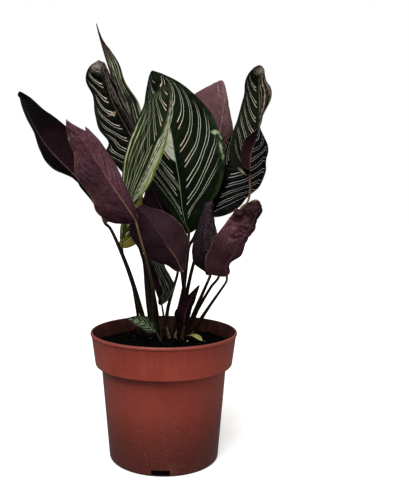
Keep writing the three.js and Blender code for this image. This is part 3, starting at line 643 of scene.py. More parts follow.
def new_material(name):
    """An empty node material, and the graph of its nodes."""
    made = bpy.data.materials.new(name)
    made.use_nodes = True
    return made, Graph(made.node_tree)


def dress(g, base, roughness, height, depth, strength, gloss):
    """Feeds a material's shader with its colour, roughness and a bump. The gloss is the same all over it."""
    inputs = g.tree.nodes["Principled BSDF"].inputs
    normal = g.read("ShaderNodeBump", "Normal", {"Height": height, "Distance": depth, "Strength": strength})
    inputs["Specular IOR Level"].default_value = gloss
    for name, value in (("Base Color", base), ("Roughness", roughness), ("Normal", normal)):
        g.feed(inputs[name], value)


def by_side(right, left_value, right_value):
    """One value on a blade's left half and another on its right half."""
    return right * (right_value - left_value) + left_value


def widest(leaf):
    return max(leaf.left.widths + leaf.right.widths)


def look_of(leaf, defaults):
    """The leaf's look over the defaults, with its colour codes as colours."""
    look = defaults | leaf.look
    return SimpleNamespace(**{key: colour(v) if str(v).startswith("#") else v for key, v in look.items()})


def blade_start(g, look, seed, scale):
    """A point's place on the blade, the side veins there, and the mottling of the blade's tone."""
    place = blade_place(g, Map=g.uv(BLADE_MAP))
    veins = side_veins(
        g, Along=place.along, Out=place.out, Right=place.right, Pairs=look.pairs, Sweep=look.sweep, Seed=seed
    )
    return place, veins, mottle(g, Vector=g.place(), Scale=scale)


def blotched(g, base, look, place, seed):
    """The base colour with the look's patches on it."""
    for number, (along, across, size_along, size_across, strength, tone) in enumerate(look.patches):
        patch = soft_patch(
            g, Along=place.along, Across=place.across, Centre_Along=along, Centre_Across=across,
            Length=size_along, Width=size_across, Seed=seed + number * 5.1,
        )
        base = g.mix(patch.patch * strength, base, colour(tone))
    return base


def dried(g, base, look, place, seed):
    """The base colour with the look's dry margins on it."""
    margin = dry_margin(
        g, Across=place.across, Along=place.along, Left=look.dry_left, Right=look.dry_right, Tip=look.dry_tip,
        Seed=seed,
    )
    return g.mix(margin.dry, base, colour(DRY_EDGE))


def streaked(g, base, look, place, seed):
    """The base colour with lengthwise streaks on one half or both."""
    along, right = place.along, place.right
    streaks = long_streaks(
        g, Along=along, Across=place.across, Thin=by_side(right, look.thin_left, look.thin_right),
        Lines=by_side(right, look.lines_left or look.lines, look.lines), Seed=seed,
    )
    share = by_side(right, look.streaks_left, look.streaks_right)
    if look.spill:
        zone = place.out.fade(0.3, 0.75) * along.fall(0.4, 0.8)
        near = (place.across - along.fade(0.35, 0.6, -look.spill, 0.0)).fade(-0.06, 0.02)
        share = share * g.math("MAXIMUM", zone, g.math("MAXIMUM", near, right))
    share = share * along.fade(look.streak_top - 0.12, look.streak_top, 1.0, 0.25)
    light = streaks.fine * streaks.broad.fade(0.0, 1.0, 0.45, 1.0)
    return g.mix(share, base, g.mix(light, look.streak_dark, look.streak_light))


def upper_material(leaf, seed):
    """The blade's upper side: deep green lanes with paired pale lines, and a thin midrib."""
    look = look_of(leaf, UPPER_LOOK)
    material, g = new_material(f"{leaf.name}_upper")
    place, veins, tone = blade_start(g, look, seed, 45.0)
    along, out, right = place.along, place.out, place.right
    stripes = pinstripes(
        g, Phase=veins.phase + right * look.shift_right, Level=veins.level, Out=out, Right=right,
        Width=by_side(right, look.stripe_width * look.wide_left, look.stripe_width), Apart=look.apart, Top=look.top,
        End=look.end, Seed=seed,
    )
    base = g.mix(tone.broad * veins.streak, look.deep, look.mid)
    base = g.mix(out.fade(0.8, 1.0) * 0.45, base, look.mid)
    base = g.mix(stripes.lane * 0.3, base, look.mid)
    # Painted sheen: pale lanes on the left half stand for a reflection on the glossy blade.
    for low, high, reach, strength, sheen in look.sheens:
        lane = veins.level.fade(low - 0.006, low + 0.006) * veins.level.fall(high - 0.03, high + 0.03)
        lane = lane * out.fade(reach - 0.08, reach, strength, 0.0) * veins.streak.fade(0.35, 0.6, 0.5, 1.0)
        base = g.mix(lane * (1.0 - right), base, colour(sheen))
    paler = g.math("MAXIMUM", out.fade(0.16, 0.4), veins.level.fade(0.25, 0.5, look.pale_below, 0.0))
    base = g.mix(stripes.stripe, base, g.mix(paler, look.stripe, look.stripe_out))
    if look.streaks_left or look.streaks_right:
        base = streaked(g, base, look, place, seed)
    if look.bright_left or look.bright_right:
        edge = out.fade(0.5, 0.85) * along.fall(0.5, 0.75) * veins.streak.fade(0.3, 0.6, 0.45, 1.0)
        base = g.mix(edge * by_side(right, look.bright_left, look.bright_right), base, look.bright)
    base = blotched(g, base, look, place, seed)
    edge = look.rib_width / widest(leaf)
    rib = out.fade(edge * 0.6, edge * 1.5, 0.85, 0.0) * along.fall(look.rib_top - 0.1, look.rib_top)
    base = dried(g, g.mix(rib, base, look.rib), look, place, seed)
    height = veins.ridge * 0.5 + tone.fine * 0.35 + veins.streak * 0.8
    dress(g, base, tone.fine.fade(0.0, 1.0, 0.36, 0.52), height, depth=0.00035, strength=0.7, gloss=0.04)
    return material


def under_material(leaf, seed):
    """The blade's underside: purple with streaks along the side veins, fine crinkles and a paler midrib."""
    look = look_of(leaf, UNDER_LOOK)
    material, g = new_material(f"{leaf.name}_under")
    place, veins, tone = blade_start(g, look, seed, 55.0)
    along, out = place.along, place.out
    net = crinkle(g, Vector=g.place(), Scale=look.net_scale)
    base = g.mix(tone.broad * veins.streak.fade(0.3, 0.7, 0.25, 1.0), look.under, look.under_light)
    base = g.mix(veins.ridge.fade(0.75, 1.0) * out.fade(0.9, 0.2) * 0.3, base, look.under_light)
    # Painted shade: darker bands along the side veins stand for the shade of folds there.
    crease = g.math("COSINE", veins.phase * TURN).fade(0.55, 1.0) * tone.broad.fade(0.2, 0.8, 0.3, look.fold * 2)
    base = g.mix(crease * out.fade(0.02, 0.2), base, look.under_deep)
    base = g.mix(tone.fine * 0.2, base, look.under)
    # Painted light and shade on the crinkles: lumps and broad folds are painted lighter as highlight, and creases
    # take the net tone, or else the deep tone as painted shade.
    base = g.mix(net.lump * (0.8 * look.net), base, look.under_light)
    base = g.mix(net.crease * look.net, base, look.net_tone or look.under_deep)
    fold = net.fold * along.fade(look.folds_from - 0.15, look.folds_from + 0.1)
    base = g.mix(fold * (0.16 * look.folds), base, look.under_light)
    base = blotched(g, base, look, place, seed)
    base = g.mix(along.fade(0.0, 0.4, look.dark_base, 0.0), base, look.under_deep)
    base = g.mix((tone.broad * 0.12 + along).fade(0.7, 0.88, 0.0, look.dark_tip), base, look.under_deep)
    edge = look.rib_width / widest(leaf)
    rib = (out / along.fade(0.0, 0.9, 1.0, 0.45)).fall(edge * 0.7, edge * 1.6)
    rib = rib * along.fade(0.6 * look.rib_fade, look.rib_fade + 0.05, 0.85, 0.12)
    base = dried(g, g.mix(rib, base, look.under_rib), look, place, seed)
    height = veins.ridge * 0.35 + tone.fine * 0.6 + net.lump * (1.6 * look.net) - net.crease * (1.2 * look.net)
    height = height + fold * look.folds + veins.streak * 0.9
    dress(g, base, tone.fine.fade(0.0, 1.0, 0.45, 0.62), height, depth=0.00035, strength=0.8, gloss=0.06)
    return material


def stem_material(name, dry, seed):
    """A stem: dark and streaked lengthwise, browner at its sheath and paler at the joint under the blade."""
    settings = bpy.context.scene.calathea_foliage
    material, g = new_material(name)
    round_it, up, _ = g.parts(g.uv(STEM_MAP))
    angle = round_it * TURN
    lane = g.vector(g.math("COSINE", angle) * 2.2, g.math("SINE", angle) * 2.2, up * 1.4 + seed)
    streak = g.noise(lane, 1.6, 5.0, 0.65)
    base = g.mix(streak.fade(0.35, 0.65), settings.stem, settings.stem_green)
    base = g.mix((up + streak * 0.2).fade(0.15, 0.5, 0.55, 0.0), base, colour("#1f110f"))
    base = g.mix((up + streak * 0.3).fade(0.5, 0.85, 0.0, dry), base, settings.stem_dry)
    base = g.mix(up.fade(0.93, 0.965, 0.0, 0.55), base, colour("#6b4a34"))
    # Painted highlight: three thin pale lines wind along the stem, one of them beside the sheath's raised lap.
    ridge = g.math("COSINE", (angle - up * 1.5) * 3.0).fade(0.9, 0.99) * streak.fade(0.35, 0.6, 0.15, 0.7)
    base = g.mix(ridge, base, settings.stem_highlight)
    speck = g.noise(g.place(), 1500.0, 2.0).fade(0.62, 0.7, 0.0, 0.5)
    base = g.mix(speck, base, colour("#150f0c"))
    dress(g, base, streak.fade(0.3, 0.7, 0.5, 0.7), streak + speck * 0.2, depth=0.0004, strength=0.8, gloss=0.2)
    return material


def plastic_material(name, stain_and_shade=0.0):
    """Moulded plastic with soft flow marks, a fine grain, dried dust, and painted shade towards the foot and on the
    lip's top; or the inside, with a damp peat stain and painted shade.
    """
    settings = bpy.context.scene.calathea_pot
    material, g = new_material(name)
    place = g.place()
    x, y, z = g.parts(place)
    tone = mottle(g, Vector=place, Scale=22.0)
    flow = g.noise(g.vector(x, y, z * 0.12), 130.0, 3.0, 0.5)
    base = g.mix(tone.broad * flow.fade(0.35, 0.65, 0.2, 0.8), settings.plastic, settings.plastic_deep)
    edges = g.math("MAXIMUM", z.fade(0.085, 0.105) * 0.15, z.fall(0.0, 0.016) * 0.35)
    grains = g.noise(place, 1100.0, 4.0, 0.7).fade(0.58, 0.70) * 0.5
    patches = g.noise(place, 70.0, 4.0, 0.6, 0.5).fade(0.52, 0.74, 0.0, 0.35)
    dusty = g.math("MAXIMUM", (edges + 0.10) * patches, grains, clamp=True)
    # Painted shade: the plastic is painted darker towards the foot, as less light falls low on the pot.
    base = g.mix(z.fade(0.0, 0.085, 0.9, 0.05), base, colour("#431710"))
    base = g.mix(dusty, base, settings.dust)
    # Painted shade: the lip's top is painted darker, although it faces the light.
    base = g.mix(z.fade(0.1028, 0.1041, 0.0, 0.55), base, colour("#46201a"))
    # Painted shade with a peat stain: the inside is painted near black, as damp peat stains it and as it lies in
    # shade.
    if stain_and_shade:
        stain_and_shade_film = g.noise(place, 60.0, 4.0, 0.6).fade(0.3, 0.7, stain_and_shade * 0.85, stain_and_shade)
        base = g.mix(stain_and_shade_film, base, colour("#0c0403"))
    rough = tone.fine.fade(0.0, 1.0, 0.36, 0.46) + dusty * 0.5
    dress(g, base, rough, tone.fine * 0.5 + grains * 0.8, depth=0.00012, strength=0.6, gloss=0.45)
    return material


def peat_material(name, brown_share, pale=False):
    """Moist peat: near black, with browner fibres and crumbs. A mineral grain is the same in paler tones."""
    settings = bpy.context.scene.calathea_peat
    material, g = new_material(name)
    tone = mottle(g, Vector=g.place(), Scale=160.0)
    grain = g.noise(g.place(), 700.0, 5.0, 0.7).fade(0.62 - 0.3 * brown_share, 0.8 - 0.3 * brown_share)
    dark, light = (settings.brown, settings.pale) if pale else (settings.dark, settings.brown)
    base = g.mix(tone.fine * 0.4, g.mix(grain, dark, light), dark)
    rough = tone.broad.fade(0.0, 1.0, 0.75, 0.95)
    dress(g, base, rough, tone.fine + grain * 0.5, depth=0.0005, strength=1.0, gloss=0.03)
    return material


def dry_material(name, light, dark, scale):
    """Dried leaf tissue: papery, streaked lengthwise and darker in spots."""
    material, g = new_material(name)
    place = g.place()
    x, y, z = g.parts(place)
    tone = mottle(g, Vector=place, Scale=scale)
    fibres = g.noise(g.vector(x, y, z * 0.3), 900.0, 4.0, 0.6)
    base = g.mix(tone.broad * fibres.fade(0.3, 0.7, 0.4, 1.0), colour(light), colour(dark))
    rough = fibres.fade(0.3, 0.7, 0.65, 0.85)
    dress(g, base, rough, fibres + tone.fine * 0.5, depth=0.0004, strength=0.9, gloss=0.5)
    return material


# Mesh building


def link_object(name, data):
    """Puts a new object with this mesh, lamp or camera in the scene."""
    made = bpy.data.objects.new(name, data)
    bpy.context.scene.collection.objects.link(made)
    return made


def link_piece(name, mesh, slot, *nodes):
    """Puts a finished mesh in the scene as a piece of the object that stands for the named nodes."""
    piece = link_object(name, mesh)
    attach(piece, "root")
    if nodes:
        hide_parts(*nodes)
    return piece


def grid_faces(rows, columns, first=0, wrap=False, flip=False):
    """Quads of a vertex grid with columns + 1 points a row, or columns points if it wraps round."""
    across = columns if wrap else columns + 1
    faces = []
    for r in range(rows):
        for c in range(columns):
            here, beside = first + r * across + c, first + r * across + (c + 1) % across
            quad = (here, beside, beside + across, here + across)
            faces.append(quad[::-1] if flip else quad)
    return faces


def ring(radius, height, segments):
    """Points round a ring. The height is a number, or a function of a point's x and y."""
    turns = [TURN * k / segments for k in range(segments)]
    flat = [(radius * math.cos(turn), radius * math.sin(turn)) for turn in turns]
    return [(x, y, height(x, y) if callable(height) else height) for x, y in flat]


def closed_rings(rings, bottom, top, flip=False):
    """Points and faces of a closed surface through rings, with a fan to a middle point at each end."""
    segments = len(rings[0])
    points = [bottom, *(point for each in rings for point in each), top]
    faces = grid_faces(len(rings) - 1, segments, first=1, wrap=True)
    last = len(points) - 1
    for k in range(segments):
        after = (k + 1) % segments
        faces.append((0, 1 + after, 1 + k))
        faces.append((last, last - segments + k, last - segments + after))
    return points, [face[::-1] for face in faces] if flip else faces


def finish_mesh(name, points, faces, materials, face_materials=None, uvs=None, sharp=50.0):
    """A smooth mesh from points in metres. uvs is (map name, one coordinate for each face corner)."""
    mesh = bpy.data.meshes.new(name)
    mesh.from_pydata([tuple(p) for p in points], [], faces)
    for material in materials:
        mesh.materials.append(material)
    if face_materials is not None:
        mesh.polygons.foreach_set("material_index", face_materials)
    mesh.polygons.foreach_set("use_smooth", [True] * len(mesh.polygons))
    if uvs:
        layer = mesh.uv_layers.new(name=uvs[0])
        layer.uv.foreach_set("vector", np.asarray(uvs[1], np.float32).ravel())
    if sharp:
        mesh.set_sharp_from_angle(angle=math.radians(sharp))
    mesh.validate()
    return mesh


def to_mesh(name, made):
    """A mesh from a bmesh, which is freed."""
    mesh = bpy.data.meshes.new(name)
    made.to_mesh(mesh)
    made.free()
    return mesh


def ramp(values, along):
    """Values at even stations from base to tip, joined smoothly."""
    stations = np.asarray(values, float)
    if len(stations) == 1:
        return np.full_like(along, stations[0])
    place = along * (len(stations) - 1)
    i = np.clip(place.astype(int), 0, len(stations) - 2)
    part = place - i
    part = part * part * (3 - 2 * part)
    return stations[i] * (1 - part) + stations[i + 1] * part


def passage(p0, p1, p2, p3, t):
    """A smooth curve from p1 to p2 as t goes from 0 to 1, in line with the points on either side."""
    return 0.5 * (2 * p1 + (p2 - p0) * t + (2 * p0 - 5 * p1 + 4 * p2 - p3) * t**2
                  + (3 * p1 - p0 - 3 * p2 + p3) * t**3)


def curve_through(points, steps):
    """A smooth curve through the points, as steps + 1 places evenly spaced on it, and its length."""
    points = np.asarray(points, float)
    held = np.vstack([2 * points[0] - points[1], points, 2 * points[-1] - points[-2]])
    t = np.linspace(0, 1, CURVE_STEPS, endpoint=False)[:, None]
    runs = [passage(*four, t) for four in zip(held, held[1:], held[2:], held[3:])]
    fine = np.vstack([*runs, points[-1:]])
    travelled = np.r_[0, np.cumsum(np.linalg.norm(np.diff(fine, axis=0), axis=1))]
    even = np.linspace(0, travelled[-1], steps + 1)
    return np.stack([np.interp(even, travelled, fine[:, k]) for k in range(3)], 1), travelled[-1]


def half_width(widths, along, tip):
    """Half a blade's width along it, from a rounded base to a tip that is blunter for a higher power."""
    stations = [widths[0] * BASE_WIDTH_SHARE, *widths, widths[-1] * TIP_WIDTH_SHARE]
    stations = np.array([2 * stations[0] - stations[1], *stations, 2 * stations[-1] - stations[-2]])
    place = np.clip(along, 0, 1) * BLADE_STATIONS
    i = np.clip(place.astype(int), 0, BLADE_STATIONS - 1)
    width = passage(*(stations[i + k] for k in range(4)), place - i)
    base = np.sqrt(np.clip(1 - (1 - np.clip(along / BLADE_BASE_ROUND, 0, 1)) ** 2, 0, 1))
    pointed = (1 - np.clip(along, 0, 1) ** tip) ** 0.8
    return np.clip(width, 0, None) * base * pointed + MARGIN_HALF_WIDTH


def vein_level(along, out, sweep):
    """Where the side vein through a point leaves the midrib, from 0 at the base to 1 at the tip."""
    near = np.minimum(out, VEIN_REACH)
    bend = (VEIN_BEND[0] + VEIN_BEND[1] * near) * near * sweep
    start = along - VEIN_SWEEP[0] * bend
    slope = 1 + (VEIN_SWEEP[1] - VEIN_SWEEP[0]) * bend
    root = np.sqrt(np.maximum(slope**2 - 4 * VEIN_SWEEP[1] * bend * start, 0))
    return np.maximum(2 * start / (slope + root), 0)


def unit(vectors):
    return vectors / np.linalg.norm(vectors, axis=-1, keepdims=True)


def wrinkle(points, scale, seed):
    """Smooth noise from -1 to 1 for each point."""
    flat = points.reshape(-1, 3)
    values = [noise.noise(Vector(p * scale) + Vector((seed, seed * 1.7, 0))) for p in flat]
    return np.array(values).reshape(points.shape[:-1])


def blade_surface(leaf, rows, columns, seed):
    """The blade's middle surface in millimetres, its normals, and the place of each point along and across it."""
    even = np.linspace(0, 1, rows + 1)
    across = np.linspace(-1, 1, 2 * columns + 1)
    across = np.sign(across) * np.abs(across) ** 1.25
    ends = np.interp(across, *zip(*leaf.end))
    along = (0.5 * even + 0.25 * (1 - np.cos(math.pi * even)))[:, None] * ends[None, :]
    across = np.broadcast_to(across, along.shape)
    fine, _ = curve_through(leaf.midrib, TRACK_STEPS)
    track = np.linspace(0, 1, TRACK_STEPS + 1)
    slope = unit(np.gradient(fine, axis=0))
    facing = np.stack([ramp([f[k] for f in leaf.facing], track) for k in range(3)], 1)
    up = unit(facing - (facing * slope).sum(1)[:, None] * slope)
    here = lambda values: np.stack([np.interp(along, track, values[:, k]) for k in range(3)], -1)
    centre, up, side = here(fine), here(up), here(np.cross(slope, up))
    reach, rise, tilt = (np.zeros_like(along) for _ in range(3))
    size, waves = leaf.wave
    for sign, half in ((-1, leaf.left), (1, leaf.right)):
        part = (np.sign(across) == sign) | (across == 0) & (sign < 0)
        s, out = along[part], np.abs(across[part])
        width = half_width(half.widths, s, leaf.tip)
        width = width * (1 + 0.02 * np.array([noise.noise(Vector((a * 9, sign * 3.1, seed))) for a in s]))
        folded = np.minimum(width / FLAT_BELOW_WIDTH, 1) ** 2
        lift = np.radians(ramp(half.lift, s) * folded)
        curl = np.radians(np.maximum(ramp(half.curl, s) * folded, 0.1))
        reach[part] = sign * width / curl * (np.sin(lift + curl * out) - np.sin(lift))
        swing = np.sin(TURN * waves * s + sign * 0.9) * np.sqrt(np.clip(np.sin(math.pi * s), 0, 1))
        rise[part] = -width / curl * (np.cos(lift + curl * out) - np.cos(lift)) + size * out**2.2 * swing
        tilt[part] = sign * (lift + curl * out)
    tilt[:, columns] = (tilt[:, columns - 1] + tilt[:, columns + 1]) / 2
    points = centre + side * reach[..., None] + up * rise[..., None]
    normal = up * np.cos(tilt)[..., None] - side * np.sin(tilt)[..., None]
    return points, normal, along, across


def blade_relief(leaf, points, near, along, out, corrugation, seed):
    """How far the blade rises and falls: ripples along its side veins, waves, and a crumple."""
    look = look_of(leaf, UPPER_LOOK)
    ripple = np.cos(2 * TURN * look.pairs * vein_level(along, out, look.sweep) ** VEIN_CROWDING)
    ripple *= np.clip(out * 5, 0, 1) * np.clip((1 - out) * 4, 0, 1)
    amount, start = leaf.crumple
    crumpled = amount * (np.clip((along - start) / max(1 - start, 0.2), 0, 1) if start else 1.0)
    uneven = wrinkle(points, 0.045, seed) * 0.9 + wrinkle(points, 0.16, seed + 5) * crumpled
    if amount > 1:
        uneven += wrinkle(points, 0.34, seed + 9) * 0.4 * crumpled
    return ripple * corrugation + uneven * np.clip(near / 8, 0, 1) * np.clip(along * 12, 0, 1)


def blade_mesh(leaf, materials, seed, rib):
    """A thin closed blade with a raised midrib below, a groove above and soft ripples along its side veins."""
    settings = bpy.context.scene.calathea_foliage
    rows, columns = settings.rows, settings.columns
    points, normal, along, across = blade_surface(leaf, rows, columns, seed)
    out = np.abs(across)
    near = np.linalg.norm(points - points[:, columns : columns + 1], axis=-1)
    relief = blade_relief(leaf, points, near, along, out, settings.corrugation / MM, seed)
    thick = settings.thickness / MM * (1 - MARGIN_THINNING * out**10)
    rib_size = np.interp(along, [0, 0.8, 1], [*rib, RIB_AT_TIP])
    ridge = rib_size * np.exp(-((near / (rib_size * 0.9)) ** 2))
    upper = points + normal * (relief + thick / 2 - ridge * GROOVE_SHARE)[..., None]
    lower = points + normal * (relief - thick / 2 - ridge)[..., None]
    last = 2 * columns
    wide = last + 1
    total = (rows + 1) * wide
    faces = grid_faces(rows, last) + grid_faces(rows, last, first=total, flip=True)
    rim = [r * wide for r in range(rows + 1)] + [rows * wide + c for c in range(1, wide)]
    rim += [r * wide + last for r in range(rows - 1, -1, -1)] + list(range(last - 1, 0, -1))
    faces += [(a, b, b + total, a + total) for a, b in zip(rim, rim[1:] + rim[:1])]
    kinds = [0] * (rows * last) + [1] * (rows * last) + [0] * len(rim)
    place = np.stack([(across + 1) / 2, along], -1).reshape(-1, 2)
    corners = np.vstack([place, place])[[i for face in faces for i in face]]
    vertices = np.vstack([upper.reshape(-1, 3), lower.reshape(-1, 3)]) * MM
    return finish_mesh(f"blade_{leaf.name}", vertices, faces, materials, kinds, (BLADE_MAP, corners))


def swept_tube(name, path, radius_at, sides, material, section):
    """A closed tube along a smooth path in millimetres. section(angle, along) scales its radius."""
    steps = max(16, int(curve_through(path, 10)[1] / 1.5))
    line, _ = curve_through(path, steps)
    slope = unit(np.gradient(line, axis=0))
    normal = unit(np.cross(slope[0], (0.0, 1.0, 0.0)))
    points, uvs = [], []
    for i, (centre, ahead) in enumerate(zip(line, slope)):
        normal = unit(normal - normal.dot(ahead) * ahead)
        beside = np.cross(ahead, normal)
        up = i / steps
        for k in range(sides):
            angle = TURN * k / sides
            radius = radius_at(up) * section(angle, up)
            points.append(centre + (normal * math.cos(angle) + beside * math.sin(angle)) * radius)
            uvs.append((k / sides, up))
    faces = grid_faces(steps, sides, wrap=True)
    corners = []
    for face in faces:
        for corner, index in enumerate(face):
            seam = index % sides == 0 and corner in (1, 2)
            corners.append((1.0 if seam else uvs[index][0], uvs[index][1]))
    for cap in (tuple(range(sides))[::-1], tuple(range(steps * sides, (steps + 1) * sides))):
        faces.append(cap)
        corners += [uvs[i] for i in cap]
    return finish_mesh(name, np.array(points) * MM, faces, [material], None, (STEM_MAP, corners))


def bulge(distance, reach):
    """1 at no distance, falling softly to 0."""
    return math.exp(-((distance / reach) ** 2))


def stem_mesh(leaf, material):
    """A petiole from under the peat to the blade's midrib: sheathed and wider at the base, channelled, with a
    slightly swollen joint under the blade."""
    bottom, middle, top = leaf.radii
    (x, y, _), *rest = leaf.stem
    rib, _ = curve_through(leaf.midrib, 40)
    under = unit(np.asarray(leaf.facing[0], float)) * 0.5
    path = [(x, y, SOIL_TOP - 2.0), *rest, tuple(rib[0] - under), tuple(rib[2] - under)]

    def radius_at(up):
        plain = np.interp(up, [0, 0.5, 0.93, 1], [bottom, middle, top, top * 0.75])
        joint = 0.18 * bulge(up - STEM_JOINT, 0.025) if len(leaf.stem) > 2 else 0.0
        return plain * (1 + 0.25 * bulge(up, 0.16) + joint)

    def section(angle, up):
        channel = 0.16 * bulge(math.remainder(angle - 1.2, TURN), 0.35)
        lap = 0.10 * bulge(math.remainder(angle - 4.0 - up * 1.5, TURN), 0.18)
        return 1 - channel + lap * max(0.0, 1 - up * 2.2) + 0.03 * math.cos(5 * angle)

    sides = bpy.context.scene.calathea_foliage.stem_sides
    return swept_tube(f"petiole_{leaf.name}", path, radius_at, sides, material, section)


# Pieces


def arc(centre_radius, centre_height, radius, start, stop, steps=8):
    """Points of a profile's rounded corner, from one angle to another in degrees."""
    angles = [math.radians(start + (stop - start) * i / steps) for i in range(steps + 1)]
    return [(centre_radius + radius * math.cos(a), centre_height + radius * math.sin(a)) for a in angles]


def pot_profile(pot):
    """The pot's section from the middle of its underside, up its outside, over the lip and down inside."""
    pad, pad_slope, foot_ring = 0.013, 0.002, 0.0405
    foot_round, edge_round, step_round, bead_round, mouth_round = 0.0015, 0.0012, 0.001, 0.0009, 0.0006
    lip_bevel, lip_inside = 0.0008, 0.0035
    body = lambda z: pot.base_radius + (pot.body_top_radius - pot.base_radius) * z / pot.collar_bottom
    low, high = pot.collar_bottom, pot.height - pot.lip_depth
    collar_top = pot.rim_radius - LIP_OVERHANG
    outer = [
        (0.0, 0.0), (pad, 0.0), (pad + pad_slope, FOOT_FLOOR), (foot_ring, FOOT_FLOOR), (foot_ring, 0.0),
        *arc(body(foot_round) - foot_round, foot_round, foot_round, -90, 0),
        (body(0.02), 0.02), (body(0.05), 0.05), (body(low - edge_round), low - edge_round),
        *arc(body(low) + step_round, low - step_round, step_round, 180, 90, 4),
        *arc(pot.collar_radius - edge_round, low + edge_round, edge_round, -90, 0),
        ((pot.collar_radius + collar_top) / 2, (low + high) / 2), (collar_top, high - mouth_round),
        *arc(pot.rim_radius - bead_round, high + mouth_round, bead_round, -75, 0, 4),
        *arc(pot.rim_radius - edge_round, pot.height - edge_round, edge_round, 0, 90),
    ]
    mouth, shoulder, floor = collar_top - pot.wall, low + pot.wall, FOOT_FLOOR + pot.wall
    inner = [
        *arc(mouth + lip_bevel + mouth_round, pot.height - mouth_round, mouth_round, 90, 180),
        (mouth, pot.height - lip_inside), (pot.collar_radius - pot.wall, shoulder),
        (body(shoulder) - pot.wall, shoulder), (body(floor) - pot.wall, floor),
        (pad + pad_slope - pot.wall, floor), (pad - pot.wall, pot.wall), (0.0, pot.wall),
    ]
    return outer, inner


def cut_away(piece, cutters):
    """Cuts closed meshes from a piece, and removes them."""
    for cutter in cutters:
        modifier = piece.modifiers.new("cut", "BOOLEAN")
        modifier.object = cutter
        modifier.operation = "DIFFERENCE"
        modifier.solver = "EXACT"
    cut = bpy.data.meshes.new_from_object(piece.evaluated_get(bpy.context.evaluated_depsgraph_get()))
    piece.modifiers.clear()
    piece.data = cut
    for cutter in cutters:
        bpy.data.objects.remove(cutter)


def block(width, depth, height, angle, radius, level):
    """A box whose middle lies at a radius and height on the pot, turned to face outwards."""
    made = bmesh.new()
    bmesh.ops.create_cube(made, size=1.0)
    for vertex in made.verts:
        x, y, z = vertex.co.x * depth + radius, vertex.co.y * width, vertex.co.z * height + level
        vertex.co = (x * math.cos(angle) - y * math.sin(angle), x * math.sin(angle) + y * math.cos(angle), z)
    return link_object("cutter", to_mesh("cutter", made))


class CALATHEA_OT_pot(bpy.types.Operator):
    """Turn the nursery pot from its section and cut the drainage notches in its foot"""

    bl_idname = "calathea.pot"
    bl_label = "Nursery Pot"

    def execute(self, context):
        pot = context.scene.calathea_pot
        outer, inner = pot_profile(pot)
        profile = outer + inner
        rings = [ring(radius, height, POT_SEGMENTS) for radius, height in profile[1:-1]]
        points, faces = closed_rings(rings, (0.0, 0.0, profile[0][1]), (0.0, 0.0, profile[-1][1]))
        outside = (len(outer) + 5) * POT_SEGMENTS
        kinds = [int(k >= outside) for k in range((len(rings) - 1) * POT_SEGMENTS)] + [0, 1] * POT_SEGMENTS
        materials = [plastic_material("moulded_plastic"), plastic_material("stained_and_shaded_plastic", 0.97)]
        mesh = finish_mesh("nursery_pot", points, faces, materials, kinds, sharp=None)
        piece = link_piece("nursery_pot", mesh, "pot_plastic", "pot")
        turns = [FRONT_NOTCH + TURN * k / pot.notches for k in range(pot.notches)]
        notch = (pot.notch_width, NOTCH_DEPTH, 2 * pot.notch_height)
        cut_away(piece, [block(*notch, turn, pot.base_radius, 0) for turn in turns])
        piece.data.name = "nursery_pot"
        piece.data.set_sharp_from_angle(angle=math.radians(42))
        return {"FINISHED"}


def peat_surface(x, y, peat, drop=0.0):
    """The height of the peat's surface at a place in metres."""
    spot = Vector((x, y, 0)) * 1000
    broad = noise.noise(spot * 0.06 + Vector((3, 1, 4)))
    lumps = noise.noise(spot * 0.23 + Vector((9, 2, 6)))
    grains = noise.noise(spot * 0.75 + Vector((5, 3, 5)))
    return peat.top - drop + peat.roughness * (0.45 * broad + 0.35 * lumps + 0.3 * grains)


class CALATHEA_OT_peat(bpy.types.Operator):
    """Model the peat with its uneven crumbled surface"""

    bl_idname = "calathea.peat"
    bl_label = "Peat"

    def execute(self, context):
        pot, peat = context.scene.calathea_pot, context.scene.calathea_peat
        edge = pot.rim_radius - LIP_OVERHANG - pot.wall - PEAT_GAP
        rings = []
        for i in range(1, PEAT_RINGS + 1):
            drop = PEAT_SETTLED * max(0.0, (i / PEAT_RINGS - 0.9) * 10)
            rings.append(ring(edge * i / PEAT_RINGS, lambda x, y: peat_surface(x, y, peat, drop), PEAT_SEGMENTS))
        # Under the collar the peat steps in to the body, and it ends above the foot's floor.
        waist = pot.collar_bottom + 0.003
        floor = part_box("soil")[0].z + 0.0063
        below = [(edge - 0.003, waist), (pot.body_top_radius - pot.wall - 0.0006, waist),
                 (pot.base_radius - pot.wall - 0.0008, floor)]
        rings += [ring(radius, height, PEAT_SEGMENTS) for radius, height in below]
        middle = (0.0, 0.0, peat_surface(0, 0, peat))
        points, faces = closed_rings(rings, middle, (0.0, 0.0, floor), flip=True)
        mesh = finish_mesh("peat", points, faces, [peat_material("moist_peat", 0.15)], sharp=None)
        link_piece("peat", mesh, "peat", "soil")
        return {"FINISHED"}


